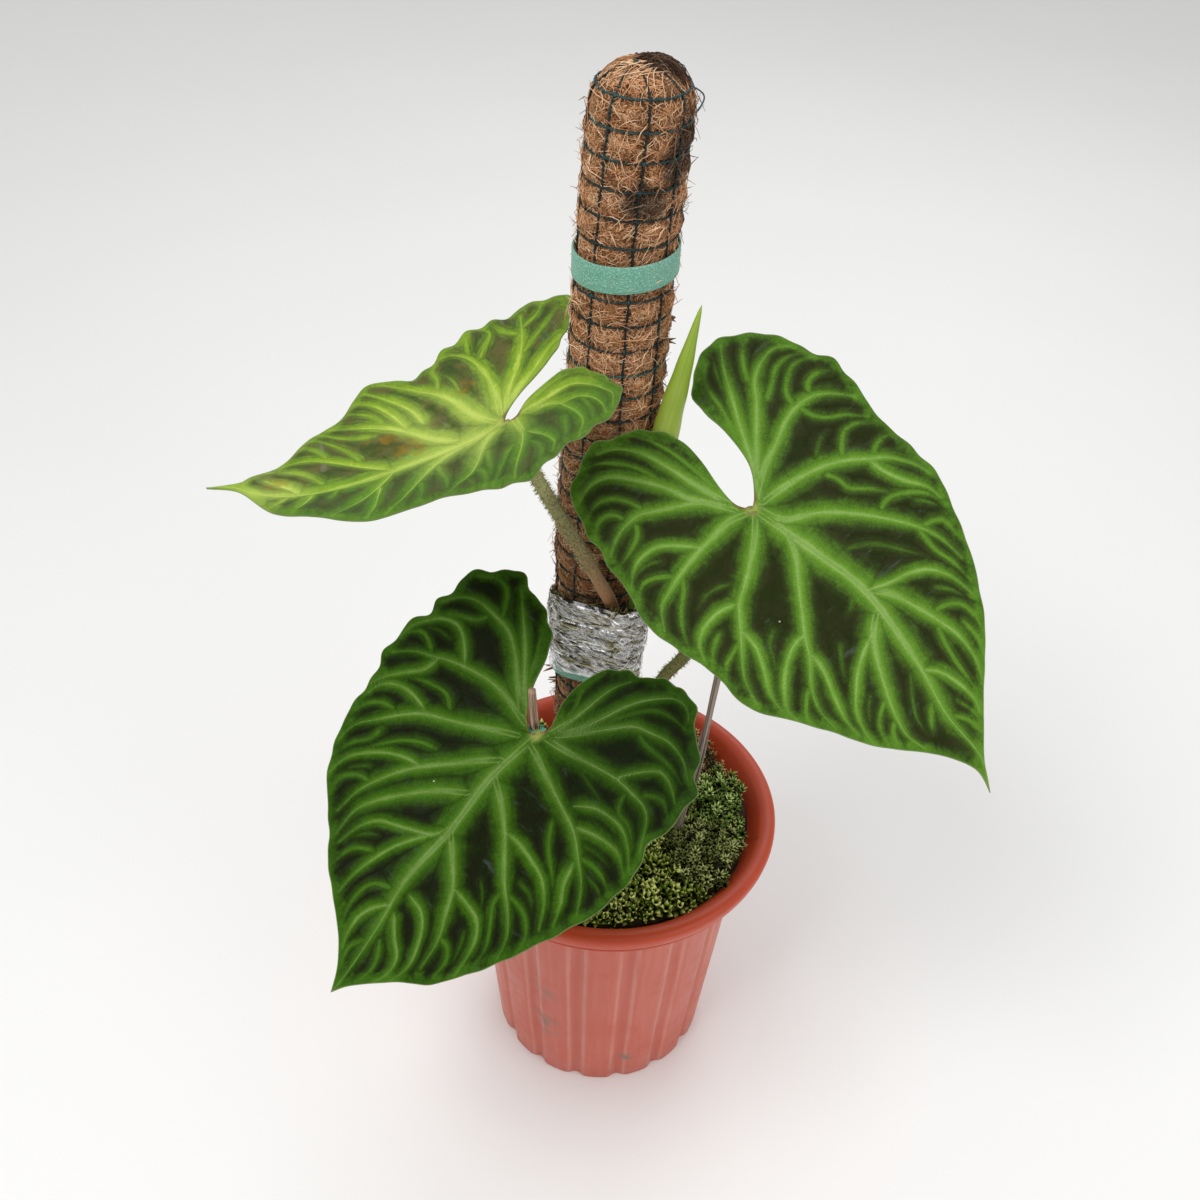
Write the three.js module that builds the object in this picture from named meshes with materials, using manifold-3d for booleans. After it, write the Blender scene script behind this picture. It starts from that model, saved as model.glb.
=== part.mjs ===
import * as THREE from 'three';
import { mergeVertices } from 'three/addons/utils/BufferGeometryUtils.js';
import Module from 'manifold-3d';

// A climbing aroid with three velvety heart-shaped leaves, tied to a coir pole in a fluted nursery pot.
// Millimetres, +Z up. The origin is the centre of the pot's flat base and -Y is the front.

const wasm = await Module();
wasm.setup();

// Pot
const POT_HEIGHT = 165;
const POT_BASE_RADIUS = 58;
const POT_NECK_RADIUS = 70.2;
const POT_LIP_RADIUS = 85;
const POT_FLOOR = 2.2;
const FLUTES = 16;
const FLUTE_DEPTH = 2.4;
const DRAIN_HOLES = 4;
const DRAIN_HOLE_RADIUS = 5;
const DRAIN_CIRCLE = 36;

// Soil and moss
const SOIL_TOP = 154;
const MOSS_CELLS = 24;

// Clearance that touching pieces keep
const GAP = 0.35;

// Coir pole and the net around it
const POLE_FOOT = 24;
const POLE_BULGE = 20.6;
const POLE_GROOVE = 18.7;
const POLE_BURIED = 19.6;
const POLE_SHOULDER = 508;
const POLE_CROWN = 521.3;
const POLE_TOP = 523.5;
const POLE_SIDES = 16;
const NET_STRANDS = 8;
const NET_TURN = 9;
const NET_TOP_RING = 517.4;
const NET_PITCH = 11.35;
const NET_EASE = 0.028;
const NET_RINGS = 34;
const NET_WANDER = 3;
const NET_HALF_WIDTH = 0.55;
const NET_THICKNESS = 0.9;

// Straps and the wrapped moss
const STRAP_THICKNESS = 0.9;
const UPPER_STRAP_HEIGHT = 11.6;
const UPPER_STRAP_Z = 443.4;
const UPPER_STRAP_TILT = 0.08;
const WRAP_TILT = 0.5;
const WAD_BOTTOM = 236.3;
const WAD_TOP = 279;
const LOWER_STRAP_BOTTOM = 229.3;
const LOWER_STRAP_TOP = 235.9;
const FILM_THICKNESS = 0.6;

// Living parts
const STEM_RADIUS = 5;
const PETIOLE_RADIUS = 2.9;
const BLADE_THICKNESS = 0.85;
const MIDRIB_DEPTH = 1.5;
const BLADE_ROWS = 20;
const BLADE_COLUMNS = [0, 0.22, 0.5, 0.78, 1];
const SINUS_ROW = 13 / BLADE_ROWS;
const SHOULDER = 0.6;

// Support canes
const RIGHT_CANE_RADIUS = 1.6;
const LEFT_CANE_RADIUS = 1.9;

const DEG = Math.PI / 180;
const vec = (x, y, z) => new THREE.Vector3(x, y, z);

function middleOf(ring) {
  return ring.reduce((sum, p) => sum.add(p), vec(0, 0, 0)).divideScalar(ring.length);
}

function seeded(seed) {
  let state = seed;
  return () => {
    state = (state * 1664525 + 1013904223) % 4294967296;
    return state / 4294967296;
  };
}

// Triangles as a flat list of points, merged into one closed surface that faces outwards.
function closedSurface(points) {
  const geometry = new THREE.BufferGeometry();
  const flat = points.flatMap((p) => [p.x, p.y, p.z]);
  geometry.setAttribute('position', new THREE.Float32BufferAttribute(flat, 3));
  return outward(tidy(geometry));
}

// Shared vertices only, without the triangles that collapse to a line.
function tidy(source) {
  const bare = source.clone();
  bare.deleteAttribute('normal');
  bare.deleteAttribute('uv');
  const merged = mergeVertices(bare, 1e-4);
  const index = merged.getIndex().array;
  const kept = [];
  for (let i = 0; i < index.length; i += 3) {
    const [a, b, c] = [index[i], index[i + 1], index[i + 2]];
    if (a !== b && b !== c && c !== a) kept.push(a, b, c);
  }
  merged.setIndex(kept);
  return merged;
}

function outward(geometry) {
  const position = geometry.getAttribute('position');
  const index = Array.from(geometry.getIndex().array);
  const corner = (i) => new THREE.Vector3().fromBufferAttribute(position, index[i]);
  let volume = 0;
  for (let i = 0; i < index.length; i += 3) {
    volume += corner(i).dot(corner(i + 1).cross(corner(i + 2)));
  }
  if (volume < 0) {
    for (let i = 0; i < index.length; i += 3) {
      [index[i + 1], index[i + 2]] = [index[i + 2], index[i + 1]];
    }
    geometry.setIndex(index);
  }
  return geometry;
}

function toSolid(geometry) {
  const closed = outward(tidy(geometry));
  const vertProperties = new Float32Array(closed.getAttribute('position').array);
  const triVerts = new Uint32Array(closed.getIndex().array);
  return new wasm.Manifold(new wasm.Mesh({ numProp: 3, vertProperties, triVerts }));
}

function toGeometry(solid) {
  const mesh = solid.getMesh();
  const geometry = new THREE.BufferGeometry();
  geometry.setAttribute('position', new THREE.Float32BufferAttribute(mesh.vertProperties, 3));
  geometry.setIndex(Array.from(mesh.triVerts));
  return geometry;
}

function cut(geometry, ...tools) {
  return toGeometry(tools.reduce((solid, tool) => solid.subtract(toSolid(tool)), toSolid(geometry)));
}

// Skin between stacked rings, closed at both ends by a fan to a middle point.
function loft(rings, start, end) {
  const points = [];
  const count = rings[0].length;
  for (let i = 0; i < count; i += 1) {
    const j = (i + 1) % count;
    points.push(start, rings[0][j], rings[0][i]);
    for (let r = 0; r + 1 < rings.length; r += 1) {
      points.push(rings[r][i], rings[r][j], rings[r + 1][j]);
      points.push(rings[r][i], rings[r + 1][j], rings[r + 1][i]);
    }
    points.push(end, rings[rings.length - 1][i], rings[rings.length - 1][j]);
  }
  return closedSurface(points);
}

// A sleeve, open at both ends: its inner skin is split into triangles like its outer one.
function sleeve(outer, inner) {
  const points = [];
  const count = outer[0].length;
  const last = outer.length - 1;
  const quad = (a, b, c, d) => points.push(a, b, c, a, c, d);
  for (let i = 0; i < count; i += 1) {
    const j = (i + 1) % count;
    for (let r = 0; r < last; r += 1) {
      quad(outer[r][i], outer[r][j], outer[r + 1][j], outer[r + 1][i]);
      points.push(inner[r][i], inner[r + 1][j], inner[r][j]);
      points.push(inner[r][i], inner[r + 1][i], inner[r + 1][j]);
    }
    quad(outer[last][i], outer[last][j], inner[last][j], inner[last][i]);
    quad(outer[0][i], inner[0][i], inner[0][j], outer[0][j]);
  }
  return closedSurface(points);
}

function disc(radius, sides) {
  const corners = [];
  for (let i = 0; i < sides; i += 1) {
    const angle = ((i + 0.5) / sides) * 2 * Math.PI;
    corners.push(new THREE.Vector2(radius * Math.cos(angle), radius * Math.sin(angle)));
  }
  return new THREE.Shape(corners);
}

function tube(path, radius, sides, steps) {
  const extrudePath = new THREE.CatmullRomCurve3(path);
  return new THREE.ExtrudeGeometry(disc(radius, sides), { steps, extrudePath, bevelEnabled: false });
}

// Pot: sixteen shallow grooves run down the body, and a smooth rolled lip stands out above them.
function potRing(z, radius, groove) {
  const ring = [];
  for (let k = 0; k < FLUTES; k += 1) {
    const middle = -90 + (k * 360) / FLUTES;
    for (const [turn, depth] of [[-7.2, 0], [7.2, 0], [11.25, 1]]) {
      const angle = (middle + turn) * DEG;
      const r = radius - depth * groove * FLUTE_DEPTH;
      ring.push(vec(r * Math.cos(angle), r * Math.sin(angle), z));
    }
  }
  return ring;
}

// Radius of the pot's inner wall, which is round.
function potInside(z) {
  if (z < 150) return 55.4 + (12.1 * (z - POT_FLOOR)) / (150 - POT_FLOOR);
  return 67.5 + 0.7 * (z - 150);
}

function makePot() {
  const rings = [
    potRing(0, POT_BASE_RADIUS - 1.4, 1),
    potRing(1.6, POT_BASE_RADIUS, 1),
    potRing(149, POT_NECK_RADIUS, 1),
    potRing(151.2, POT_NECK_RADIUS + 1.2, 0.3),
    potRing(151.8, POT_LIP_RADIUS - 4, 0),
    potRing(153.4, POT_LIP_RADIUS - 2.2, 0),
    potRing(154.4, POT_LIP_RADIUS - 2.8, 0),
    potRing(155.4, POT_LIP_RADIUS - 1.6, 0),
    potRing(161, POT_LIP_RADIUS, 0),
    potRing(164, POT_LIP_RADIUS - 0.8, 0),
    potRing(POT_HEIGHT, POT_LIP_RADIUS - 2.8, 0),
    potRing(POT_HEIGHT - 0.3, POT_LIP_RADIUS - 6, 0),
    potRing(163, potInside(163), 0),
    potRing(150, potInside(150), 0),
    potRing(POT_FLOOR, potInside(POT_FLOOR), 0),
  ];
  const drains = [];
  for (let k = 0; k < DRAIN_HOLES; k += 1) {
    const angle = ((k + 0.5) / DRAIN_HOLES) * 2 * Math.PI;
    const drain = new THREE.CylinderGeometry(DRAIN_HOLE_RADIUS, DRAIN_HOLE_RADIUS, 8, 9);
    drain.rotateX(Math.PI / 2);
    drain.translate(DRAIN_CIRCLE * Math.cos(angle), DRAIN_CIRCLE * Math.sin(angle), 1);
    drains.push(drain);
  }
  return cut(loft(rings, vec(0, 0, 0), vec(0, 0, POT_FLOOR)), ...drains);
}

// The pole leans slightly back and to the right as it rises.
function poleAxis(z) {
  const rise = Math.max(0, z - POT_HEIGHT);
  const x = -9.2 - 1.9 * Math.exp(-(((z - 300) / 70) ** 2)) + 1.6e-7 * rise ** 3;
  const y = 30.6 + 1.22e-4 * rise * rise;
  return vec(x, y, z);
}

// The top is a low dome.
function poleDome(z) {
  const t = Math.max(0, (z - POLE_SHOULDER) / (POLE_TOP + 0.1 - POLE_SHOULDER));
  return Math.max(0, 1 - t ** 3) ** 0.45;
}

// Height of a ring of the net, counted down from the top, where the rings lie slightly wider apart.
function ringHeight(k) {
  return NET_TOP_RING - NET_PITCH * k + NET_EASE * k * k;
}

// Direction of the first upright strand, which wanders a little as it climbs.
function strandTurn(z) {
  return NET_TURN + NET_WANDER * Math.sin(z / 41);
}

// Point of the pole's section, with the angle counted from the front towards +X.
function polePoint(z, radius, degrees) {
  const axis = poleAxis(z);
  const angle = (degrees - 90) * DEG;
  return vec(axis.x + radius * Math.cos(angle), axis.y + radius * Math.sin(angle), z);
}

function poleSection(z, radius) {
  const ring = [];
  for (let i = 0; i < POLE_SIDES; i += 1) {
    ring.push(polePoint(z, radius, strandTurn(z) + (i * 360) / POLE_SIDES));
  }
  return ring;
}

// Straps and the wrap press the coir flat where they lie.
function pressed(z) {
  const underStrap = Math.abs(z - UPPER_STRAP_Z - UPPER_STRAP_HEIGHT / 2) < 10;
  return underStrap || (z > LOWER_STRAP_BOTTOM - 12 && z < WAD_TOP + 20);
}

// The coir swells out of each mesh of the net and is drawn in under its strands.
function makePole() {
  const draw = seeded(7);
  const rings = [
    poleSection(POLE_FOOT, POLE_BURIED),
    poleSection(SOIL_TOP - 2, POLE_BURIED),
    poleSection(SOIL_TOP + 2.5, POLE_GROOVE + 0.3),
  ];
  const levels = [[ringHeight(NET_RINGS), 0]];
  for (let k = NET_RINGS - 1; k >= 0; k -= 1) {
    const below = (ringHeight(k) + ringHeight(k + 1)) / 2;
    if (!pressed(below) && below < POLE_SHOULDER) levels.push([below, 1]);
    levels.push([ringHeight(k), 0]);
  }
  levels.push([POLE_CROWN, 0]);
  for (const [z, swell] of levels) {
    const bulge = pressed(z) ? 1 : POLE_BULGE - POLE_GROOVE;
    const ring = poleSection(z, 0).map((centre, i) => {
      const between = i % 2;
      const lift = 0.2 * swell + between * (0.3 + swell * (bulge - 0.3 + 0.5 * (draw() - 0.5)));
      const radius = (POLE_GROOVE + lift) * poleDome(z);
      return polePoint(z, radius, strandTurn(z) + (i * 360) / POLE_SIDES);
    });
    rings.push(ring);
  }
  return loft(rings, poleAxis(POLE_FOOT), poleAxis(POLE_TOP));
}

// Knitted net: eight upright strands crossed by rings, drawn together over the pole's rounded top.
// Each crossing is a small block whose four sides carry the strands.
function makeNet() {
  const covered = [6, 23, 24, 25, 26];
  const levels = [{ z: SOIL_TOP + 3.2, ring: false }];
  for (let k = NET_RINGS - 1; k >= 0; k -= 1) {
    levels.push({ z: ringHeight(k), ring: !covered.includes(k) });
  }
  levels.push({ z: POLE_CROWN, ring: true });
  const slack = (level, degrees) => {
    const loose = level.z > 515 && level.z < 519 && Math.abs(degrees - 90) < 2;
    return loose ? 2.5 : 0;
  };
  const across = (level, degrees, side, layer, height) => {
    const odd = Math.abs((degrees / 45) % 1) > 0.25 ? 0.3 : 0;
    const dome = poleDome(level.z);
    const slope = Math.max(0, (level.z - POLE_SHOULDER) / (POLE_TOP - POLE_SHOULDER));
    const depth = 0.6 + layer * NET_THICKNESS + slack(level, degrees);
    const radius = (POLE_GROOVE + odd) * dome + depth * Math.sqrt(1 - slope * slope * 0.9);
    const turn = (side * NET_HALF_WIDTH) / Math.max(radius, 2) / DEG;
    const z = level.z + height * NET_HALF_WIDTH * (1 - 0.7 * slope) + depth * slope;
    const point = polePoint(level.z, radius, strandTurn(level.z) + degrees + turn);
    return vec(point.x, point.y, z);
  };
  const points = [];
  const quad = (a, b, c, d) => points.push(a, b, c, a, c, d);
  const bar = (a, b) => {
    for (let i = 0; i < 4; i += 1) {
      const j = (i + 1) % 4;
      quad(a[i], a[j], b[j], b[i]);
    }
  };
  const block = (level, degrees) => {
    const at = (side, layer, height) => across(level, degrees, side, layer, height);
    return {
      outer: [at(-1, 1, -1), at(1, 1, -1), at(1, 1, 1), at(-1, 1, 1)],
      inner: [at(-1, 0, 1), at(1, 0, 1), at(1, 0, -1), at(-1, 0, -1)],
      right: [at(1, 1, -1), at(1, 0, -1), at(1, 0, 1), at(1, 1, 1)],
      left: [at(-1, 1, -1), at(-1, 0, -1), at(-1, 0, 1), at(-1, 1, 1)],
      top: [at(-1, 1, 1), at(1, 1, 1), at(1, 0, 1), at(-1, 0, 1)],
      bottom: [at(-1, 1, -1), at(1, 1, -1), at(1, 0, -1), at(-1, 0, -1)],
    };
  };
  const blocks = levels.map((level) => {
    const row = [];
    for (let j = 0; j < NET_STRANDS; j += 1) row.push(block(level, j * 45));
    return row;
  });
  levels.forEach((level, k) => {
    for (let j = 0; j < NET_STRANDS; j += 1) {
      const here = blocks[k][j];
      const next = blocks[k][(j + 1) % NET_STRANDS];
      quad(...here.outer);
      quad(...here.inner);
      if (k === 0) quad(here.bottom[3], here.bottom[2], here.bottom[1], here.bottom[0]);
      if (k === levels.length - 1) quad(...here.top);
      else bar(here.top, blocks[k + 1][j].bottom);
      if (level.ring) {
        const half = (j + 0.5) * 45;
        const at = (layer, height) => across(level, half, 0, layer, height);
        const middle = [at(1, -1), at(0, -1), at(0, 1), at(1, 1)];
        bar(here.right, middle);
        bar(middle, next.left);
      } else {
        quad(...here.right);
        quad(next.left[3], next.left[2], next.left[1], next.left[0]);
      }
    }
  });
  return closedSurface(points);
}

// The climbing stem runs up the front of the pole, and the leaf stalks leave it one above another.
const STEM_PATH = [
  vec(7, 1, 118),
  vec(7, 2, 157),
  vec(5.5, 4, 200),
  vec(4, 6, 240),
  vec(1.5, 7.5, 272),
];
const STALK_BASES = [
  [vec(5.6, 3.9, 192), vec(10.2, 3.2, 199.5), vec(13.2, 3.1, 209)],
  [vec(7, 2.2, 160), vec(4.4, -1.2, 168), vec(1.1, -6.1, 177.2)],
];
const STEM_HOLE_PATH = [vec(7, 1, 117.6), ...STEM_PATH.slice(1, 4), vec(1.5, 7.5, 272.4)];
const PETIOLE_HIGH = [
  vec(-0.6, 7.2, 272.8),
  vec(-3.4, 6, 291),
  vec(-14, 1.4, 318),
  vec(-37, -11.8, 374),
  vec(-46.5, -13.8, 396),
  vec(-50.4, -13.7, 402.4),
];
const PETIOLE_RIGHT = [
  vec(13.3, 3.1, 209.4),
  vec(16.4, 3.4, 229),
  vec(22, 4, 251),
  vec(31, 2, 268),
  vec(45, -4.5, 312),
  vec(51.2, -9, 352),
  vec(51.6, -9.8, 362.6),
];
const PETIOLE_LOW = [
  vec(0.9, -6.4, 177.6),
  vec(-4, -14.6, 195),
  vec(-16, -32, 229),
  vec(-29.5, -46.5, 256),
  vec(-34.4, -52.2, 266.6),
];
const NEW_LEAF_PATH = [
  vec(6.4, 7.7, 272.8),
  vec(7.2, 8.2, 293),
  vec(11.2, 14.2, 335),
  vec(15.4, 21, 380),
  vec(20.2, 20, 410),
  vec(24.6, 18, 438),
];
const RIGHT_CANE_PATH = [
  vec(24, -19, 70),
  vec(31.3, -17.3, 157),
  vec(40.8, -14, 211),
  vec(45.4, -14, 268),
  vec(51, -15.4, 351),
];
const LEFT_CANE_PATH = [
  vec(-26, -27, 80),
  vec(-30, -34, 157),
  vec(-35.9, -44, 265),
  vec(-37.1, -46, 288),
];

// The stem, with the short sheathing bases that the two lower leaf stalks stand on.
function makeStem() {
  const bases = STALK_BASES.map((path) => toSolid(tube(path, PETIOLE_RADIUS + 0.4, 8, 4)));
  const stem = toSolid(tube(STEM_PATH, STEM_RADIUS, 8, 10));
  return toGeometry(bases.reduce((solid, base) => solid.add(base), stem));
}

function stemCentre(z) {
  const points = new THREE.CatmullRomCurve3(STEM_PATH).getPoints(40);
  return points.reduce((a, b) => (Math.abs(b.z - z) < Math.abs(a.z - z) ? b : a));
}

// Outline drawn tight around the pole and the stem, on a plane that drops towards the back.
function wrapRing(level, poleRadius, stemRadius, count, lumps) {
  const pole = poleAxis(level);
  const stem = stemCentre(Math.min(level + 14, 271));
  const ring = [];
  for (let i = 0; i < count; i += 1) {
    const angle = (i / count) * 2 * Math.PI;
    const broad = 0.5 * Math.sin(3 * angle + level * 0.3);
    const narrow = 0.4 * Math.sin(5 * angle - level * 0.21);
    const lump = lumps * (broad + narrow);
    const dir = new THREE.Vector2(Math.cos(angle), Math.sin(angle));
    const onPole = poleRadius + pole.x * dir.x + pole.y * dir.y;
    const onStem = stemRadius + stem.x * dir.x + stem.y * dir.y;
    const centre = onPole > onStem ? pole : stem;
    const radius = (onPole > onStem ? poleRadius : stemRadius) + lump;
    const y = centre.y + radius * dir.y;
    ring.push(vec(centre.x + radius * dir.x, y, level - WRAP_TILT * (y - 32)));
  }
  return ring;
}

const WAD_LEVELS = [
  [WAD_BOTTOM, 21.6, 6.4],
  [WAD_BOTTOM + 6, 22.4, 7.6],
  [WAD_BOTTOM + 20, 22.9, 9.2],
  [WAD_TOP - 9, 23.2, 10.8],
  [WAD_TOP, 22.4, 10.8],
];

function poleHole(radius, low, high) {
  const rings = [low, (low + high) / 2, high].map((z) => poleSection(z, radius));
  return loft(rings, poleAxis(low), poleAxis(high));
}

// Long-fibred moss packed around the pole and the stem.
function makeWad() {
  const rings = WAD_LEVELS.map(([z, pole, stem]) => wrapRing(z, pole, stem, 22, 1));
  const solid = loft(rings, middleOf(rings[0]), middleOf(rings[rings.length - 1]));
  return cut(
    solid,
    poleHole(20.95, 200, 320),
    tube(STEM_HOLE_PATH, STEM_RADIUS + GAP, 8, 10),
    tube(PETIOLE_HIGH, PETIOLE_RADIUS + GAP, 8, 14),
    newLeafBody(GAP),
  );
}

// Clear stretch film around the packed moss, open at the top and the bottom.
function makeFilm() {
  const outer = WAD_LEVELS.map(([z, pole, stem]) => {
    const pad = GAP + FILM_THICKNESS;
    return wrapRing(z, pole + pad, stem + pad, 22, 1);
  });
  const inner = WAD_LEVELS.map(([z, pole, stem]) => wrapRing(z, pole + GAP, stem + GAP, 22, 1));
  return sleeve(outer, inner);
}

// Hook-and-loop strap low on the pole, around the stem as well, tilted with the wrap.
function makeLowerStrap() {
  const ring = (z, pad) => wrapRing(z, 20.9 + pad, STEM_RADIUS + 0.5 + pad, 28, 0);
  const levels = [LOWER_STRAP_BOTTOM, LOWER_STRAP_TOP];
  return sleeve(levels.map((z) => ring(z, STRAP_THICKNESS)), levels.map((z) => ring(z, 0)));
}

// Hook-and-loop strap high on the pole, its end laid over itself at the back.
function makeUpperStrap() {
  const ring = (z, pad, lapped) => {
    const points = [];
    for (let i = 0; i < 28; i += 1) {
      const degrees = (i * 360) / 28;
      const lap = lapped && degrees > 135 && degrees < 195 ? STRAP_THICKNESS : 0;
      const point = polePoint(z, 20.95 + pad + lap, degrees);
      point.z += UPPER_STRAP_TILT * (point.x - poleAxis(z).x);
      points.push(point);
    }
    return points;
  };
  const levels = [UPPER_STRAP_Z, UPPER_STRAP_Z + UPPER_STRAP_HEIGHT];
  return sleeve(levels.map((z) => ring(z, STRAP_THICKNESS, true)), levels.map((z) => ring(z, 0, false)));
}

// Soil fills the pot below the moss, with plain holes for what stands in it.
function makeSoil() {
  const ring = (z) => potRing(z, potInside(z) - GAP, 0);
  const body = loft(
    [ring(POT_FLOOR + GAP), ring(150), ring(SOIL_TOP)],
    vec(0, 0, POT_FLOOR + GAP),
    vec(0, 0, SOIL_TOP),
  );
  return cut(body, ...standingHoles(POLE_BURIED + GAP));
}

function standingHoles(poleRadius) {
  return [
    poleHole(poleRadius, POLE_FOOT - GAP, 190),
    tube(STEM_HOLE_PATH, STEM_RADIUS + GAP, 8, 10),
    tube(RIGHT_CANE_PATH, RIGHT_CANE_RADIUS + GAP, 6, 5),
    tube(LEFT_CANE_PATH, LEFT_CANE_RADIUS + GAP, 6, 5),
  ];
}

// Cushions of moss that have grown into one mat: x, y, radius and height of each.
const CUSHIONS = [
  [58, 5, 21, 10],
  [46, -27, 20, 9.5],
  [17, -50, 22, 7],
  [-14, -55, 20, 7.5],
  [-44, -38, 22, 8],
  [-60, -2, 20, 8],
  [-48, 42, 22, 7],
  [-6, 66, 16, 5],
  [38, 50, 24, 6],
  [20, -18, 18, 5],
  [-28, -12, 20, 5],
];

function mossTop(x, y) {
  let height = 1.8;
  for (const [cx, cy, radius, rise] of CUSHIONS) {
    const near = 1 - ((x - cx) ** 2 + (y - cy) ** 2) / (radius * radius);
    if (near > 0) height = Math.max(height, 1.8 + rise * Math.sqrt(near) * 0.9);
  }
  return height;
}

function makeMoss() {
  const draw = seeded(21);
  const floor = SOIL_TOP + GAP;
  const circle = (radius, height) => {
    const ring = [];
    for (let i = 0; i < MOSS_CELLS; i += 1) {
      const angle = (i / MOSS_CELLS) * 2 * Math.PI;
      const x = radius * Math.cos(angle);
      const y = radius * Math.sin(angle);
      ring.push(vec(x, y, height === null ? floor + mossTop(x, y) + 0.9 * (draw() - 0.5) : height));
    }
    return ring;
  };
  const rim = circle(potInside(157) - 1.6, 157.2);
  const rings = [circle(potInside(floor) - 1.2, floor), rim];
  for (const radius of [67, 57, 46, 33, 18]) rings.push(circle(radius, null));
  const mat = loft(rings, vec(0, 0, floor), vec(0, 0, floor + mossTop(0, 0)));
  return cut(mat, ...standingHoles(POLE_GROOVE + 2.2));
}

// The rolled new leaf: a slim spear that swells low down and ends in a point.
function newLeafBody(pad) {
  const curve = new THREE.CatmullRomCurve3(NEW_LEAF_PATH);
  const girth = new THREE.SplineCurve([
    new THREE.Vector2(0, 2.5),
    new THREE.Vector2(0.12, 3.5),
    new THREE.Vector2(0.3, 4.9),
    new THREE.Vector2(0.5, 5.6),
    new THREE.Vector2(0.65, 5.7),
    new THREE.Vector2(0.82, 3.9),
    new THREE.Vector2(1, 0.8),
  ]);
  const rings = [];
  const steps = 12;
  for (let k = 0; k <= steps; k += 1) {
    const at = girth.getPoint(k / steps);
    const centre = curve.getPointAt(Math.min(1, Math.max(0, at.x)));
    const ring = [];
    for (let i = 0; i < 10; i += 1) {
      const angle = (i / 10) * 2 * Math.PI;
      const radius = at.y + pad;
      ring.push(vec(centre.x + radius * Math.cos(angle), centre.y + radius * Math.sin(angle), centre.z));
    }
    rings.push(ring);
  }
  return loft(rings, curve.getPoint(0), curve.getPoint(1).add(vec(0, 0, 3)));
}

// A heart-shaped blade in its own plane: u runs from the stalk to the tip and v to the right of it.
// Margins start at the tip and end at the back of the lobe, lobes start at the stalk and end there too.
const LEAF_HIGH = {
  stalk: vec(-50.6, -13.7, 403),
  yaw: 207.7,
  pitch: 14,
  roll: -8.5,
  fold: 0.216,
  foldFade: 90,
  dip: -0.00154,
  arch: 0.0001,
  lobeLift: 0.002,
  softness: 10,
  ripple: 1.3,
  midrib: [[114, 14], [105, 11], [96, 1], [77, -6], [45, -5], [11, -3], [0, 0]],
  right: [
    [114, 14], [102, 13], [97, 17], [84, 23], [67, 35], [53, 46], [41, 56], [30, 57], [21, 52],
    [9, 55], [-4, 58], [-14, 62], [-30, 60], [-45, 56], [-55, 49],
  ],
  rightLobe: [[0, 0], [-4, 6], [-13, 13], [-25, 19], [-37, 26], [-48, 36], [-55, 49]],
  left: [
    [114, 14], [104, 7], [97, -11], [85, -26], [71, -37], [58, -39], [45, -44], [31, -47], [20, -52],
    [8, -60], [-3, -54], [-16, -47], [-30, -41], [-40, -33], [-43, -14],
  ],
  leftLobe: [[0, 0], [-5, 0], [-13, 7], [-24, 11], [-34, 12], [-41, 3], [-43, -14]],
};
const LEAF_RIGHT = {
  stalk: vec(51.6, -9.8, 363.1),
  yaw: -39.3,
  pitch: 26.7,
  roll: -24.2,
  fold: 0.217,
  dip: 0.00028,
  arch: 0.00019,
  lobeLift: 0,
  softness: 12,
  ripple: 1.4,
  midrib: [[150, 5], [137, -2], [115, -3], [93, -8], [58, -12], [33, -8], [16, -4], [0, 0]],
  right: [
    [150, 5], [139, 3], [124, 12], [108, 27], [94, 37], [75, 50], [60, 60], [46, 61], [28, 65],
    [13, 69], [-3, 66], [-22, 64], [-42, 60], [-55, 52], [-63, 34],
  ],
  rightLobe: [[0, 0], [-6, 4], [-16, 4], [-30, 2], [-43, 3], [-55, 12], [-63, 34]],
  left: [
    [150, 5], [138, -3], [121, -18], [104, -35], [87, -46], [70, -56], [50, -63], [33, -66], [12, -65],
    [-6, -66], [-22, -67], [-37, -61], [-50, -57], [-58, -47], [-66, -37],
  ],
  leftLobe: [[0, 0], [-4, -5], [-15, -12], [-32, -14], [-50, -13], [-60, -21], [-66, -37]],
};
const LEAF_LOW = {
  stalk: vec(-34.4, -52.4, 267),
  yaw: 228,
  pitch: 35.9,
  roll: 2.3,
  fold: 0.228,
  dip: -0.00083,
  arch: 0.00015,
  lobeLift: 0,
  softness: 12,
  ripple: 1.5,
  midrib: [[137, 1], [128, 1], [106, 4], [82, 8], [55, 6], [27, 6], [0, 0]],
  right: [
    [137, 1], [126, 8], [109, 26], [92, 45], [72, 63], [54, 73], [42, 78], [28, 77], [11, 79],
    [-5, 80], [-18, 75], [-34, 71], [-44, 67], [-50, 60], [-55, 50],
  ],
  rightLobe: [[0, 0], [1, 4], [-5, 10], [-17, 15], [-32, 18], [-44, 26], [-55, 50]],
  left: [
    [137, 1], [130, -4], [117, -19], [106, -36], [90, -48], [72, -60], [55, -70], [40, -76], [24, -80],
    [10, -78], [-6, -81], [-20, -80], [-36, -69], [-48, -57], [-53, -45],
  ],
  leftLobe: [[0, 0], [-7, -3], [-18, -1], [-30, -3], [-42, -11], [-47, -27], [-53, -45]],
};

function bladeSpace(leaf) {
  const yaw = leaf.yaw * DEG;
  const pitch = leaf.pitch * DEG;
  const roll = leaf.roll * DEG;
  const along = vec(Math.cos(yaw) * Math.cos(pitch), Math.sin(yaw) * Math.cos(pitch), -Math.sin(pitch));
  const level = vec(Math.sin(yaw), -Math.cos(yaw), 0);
  const up = level.clone().cross(along);
  const across = level.multiplyScalar(Math.cos(roll)).addScaledVector(up, Math.sin(roll));
  return { along, across, up: across.clone().cross(along) };
}

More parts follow.
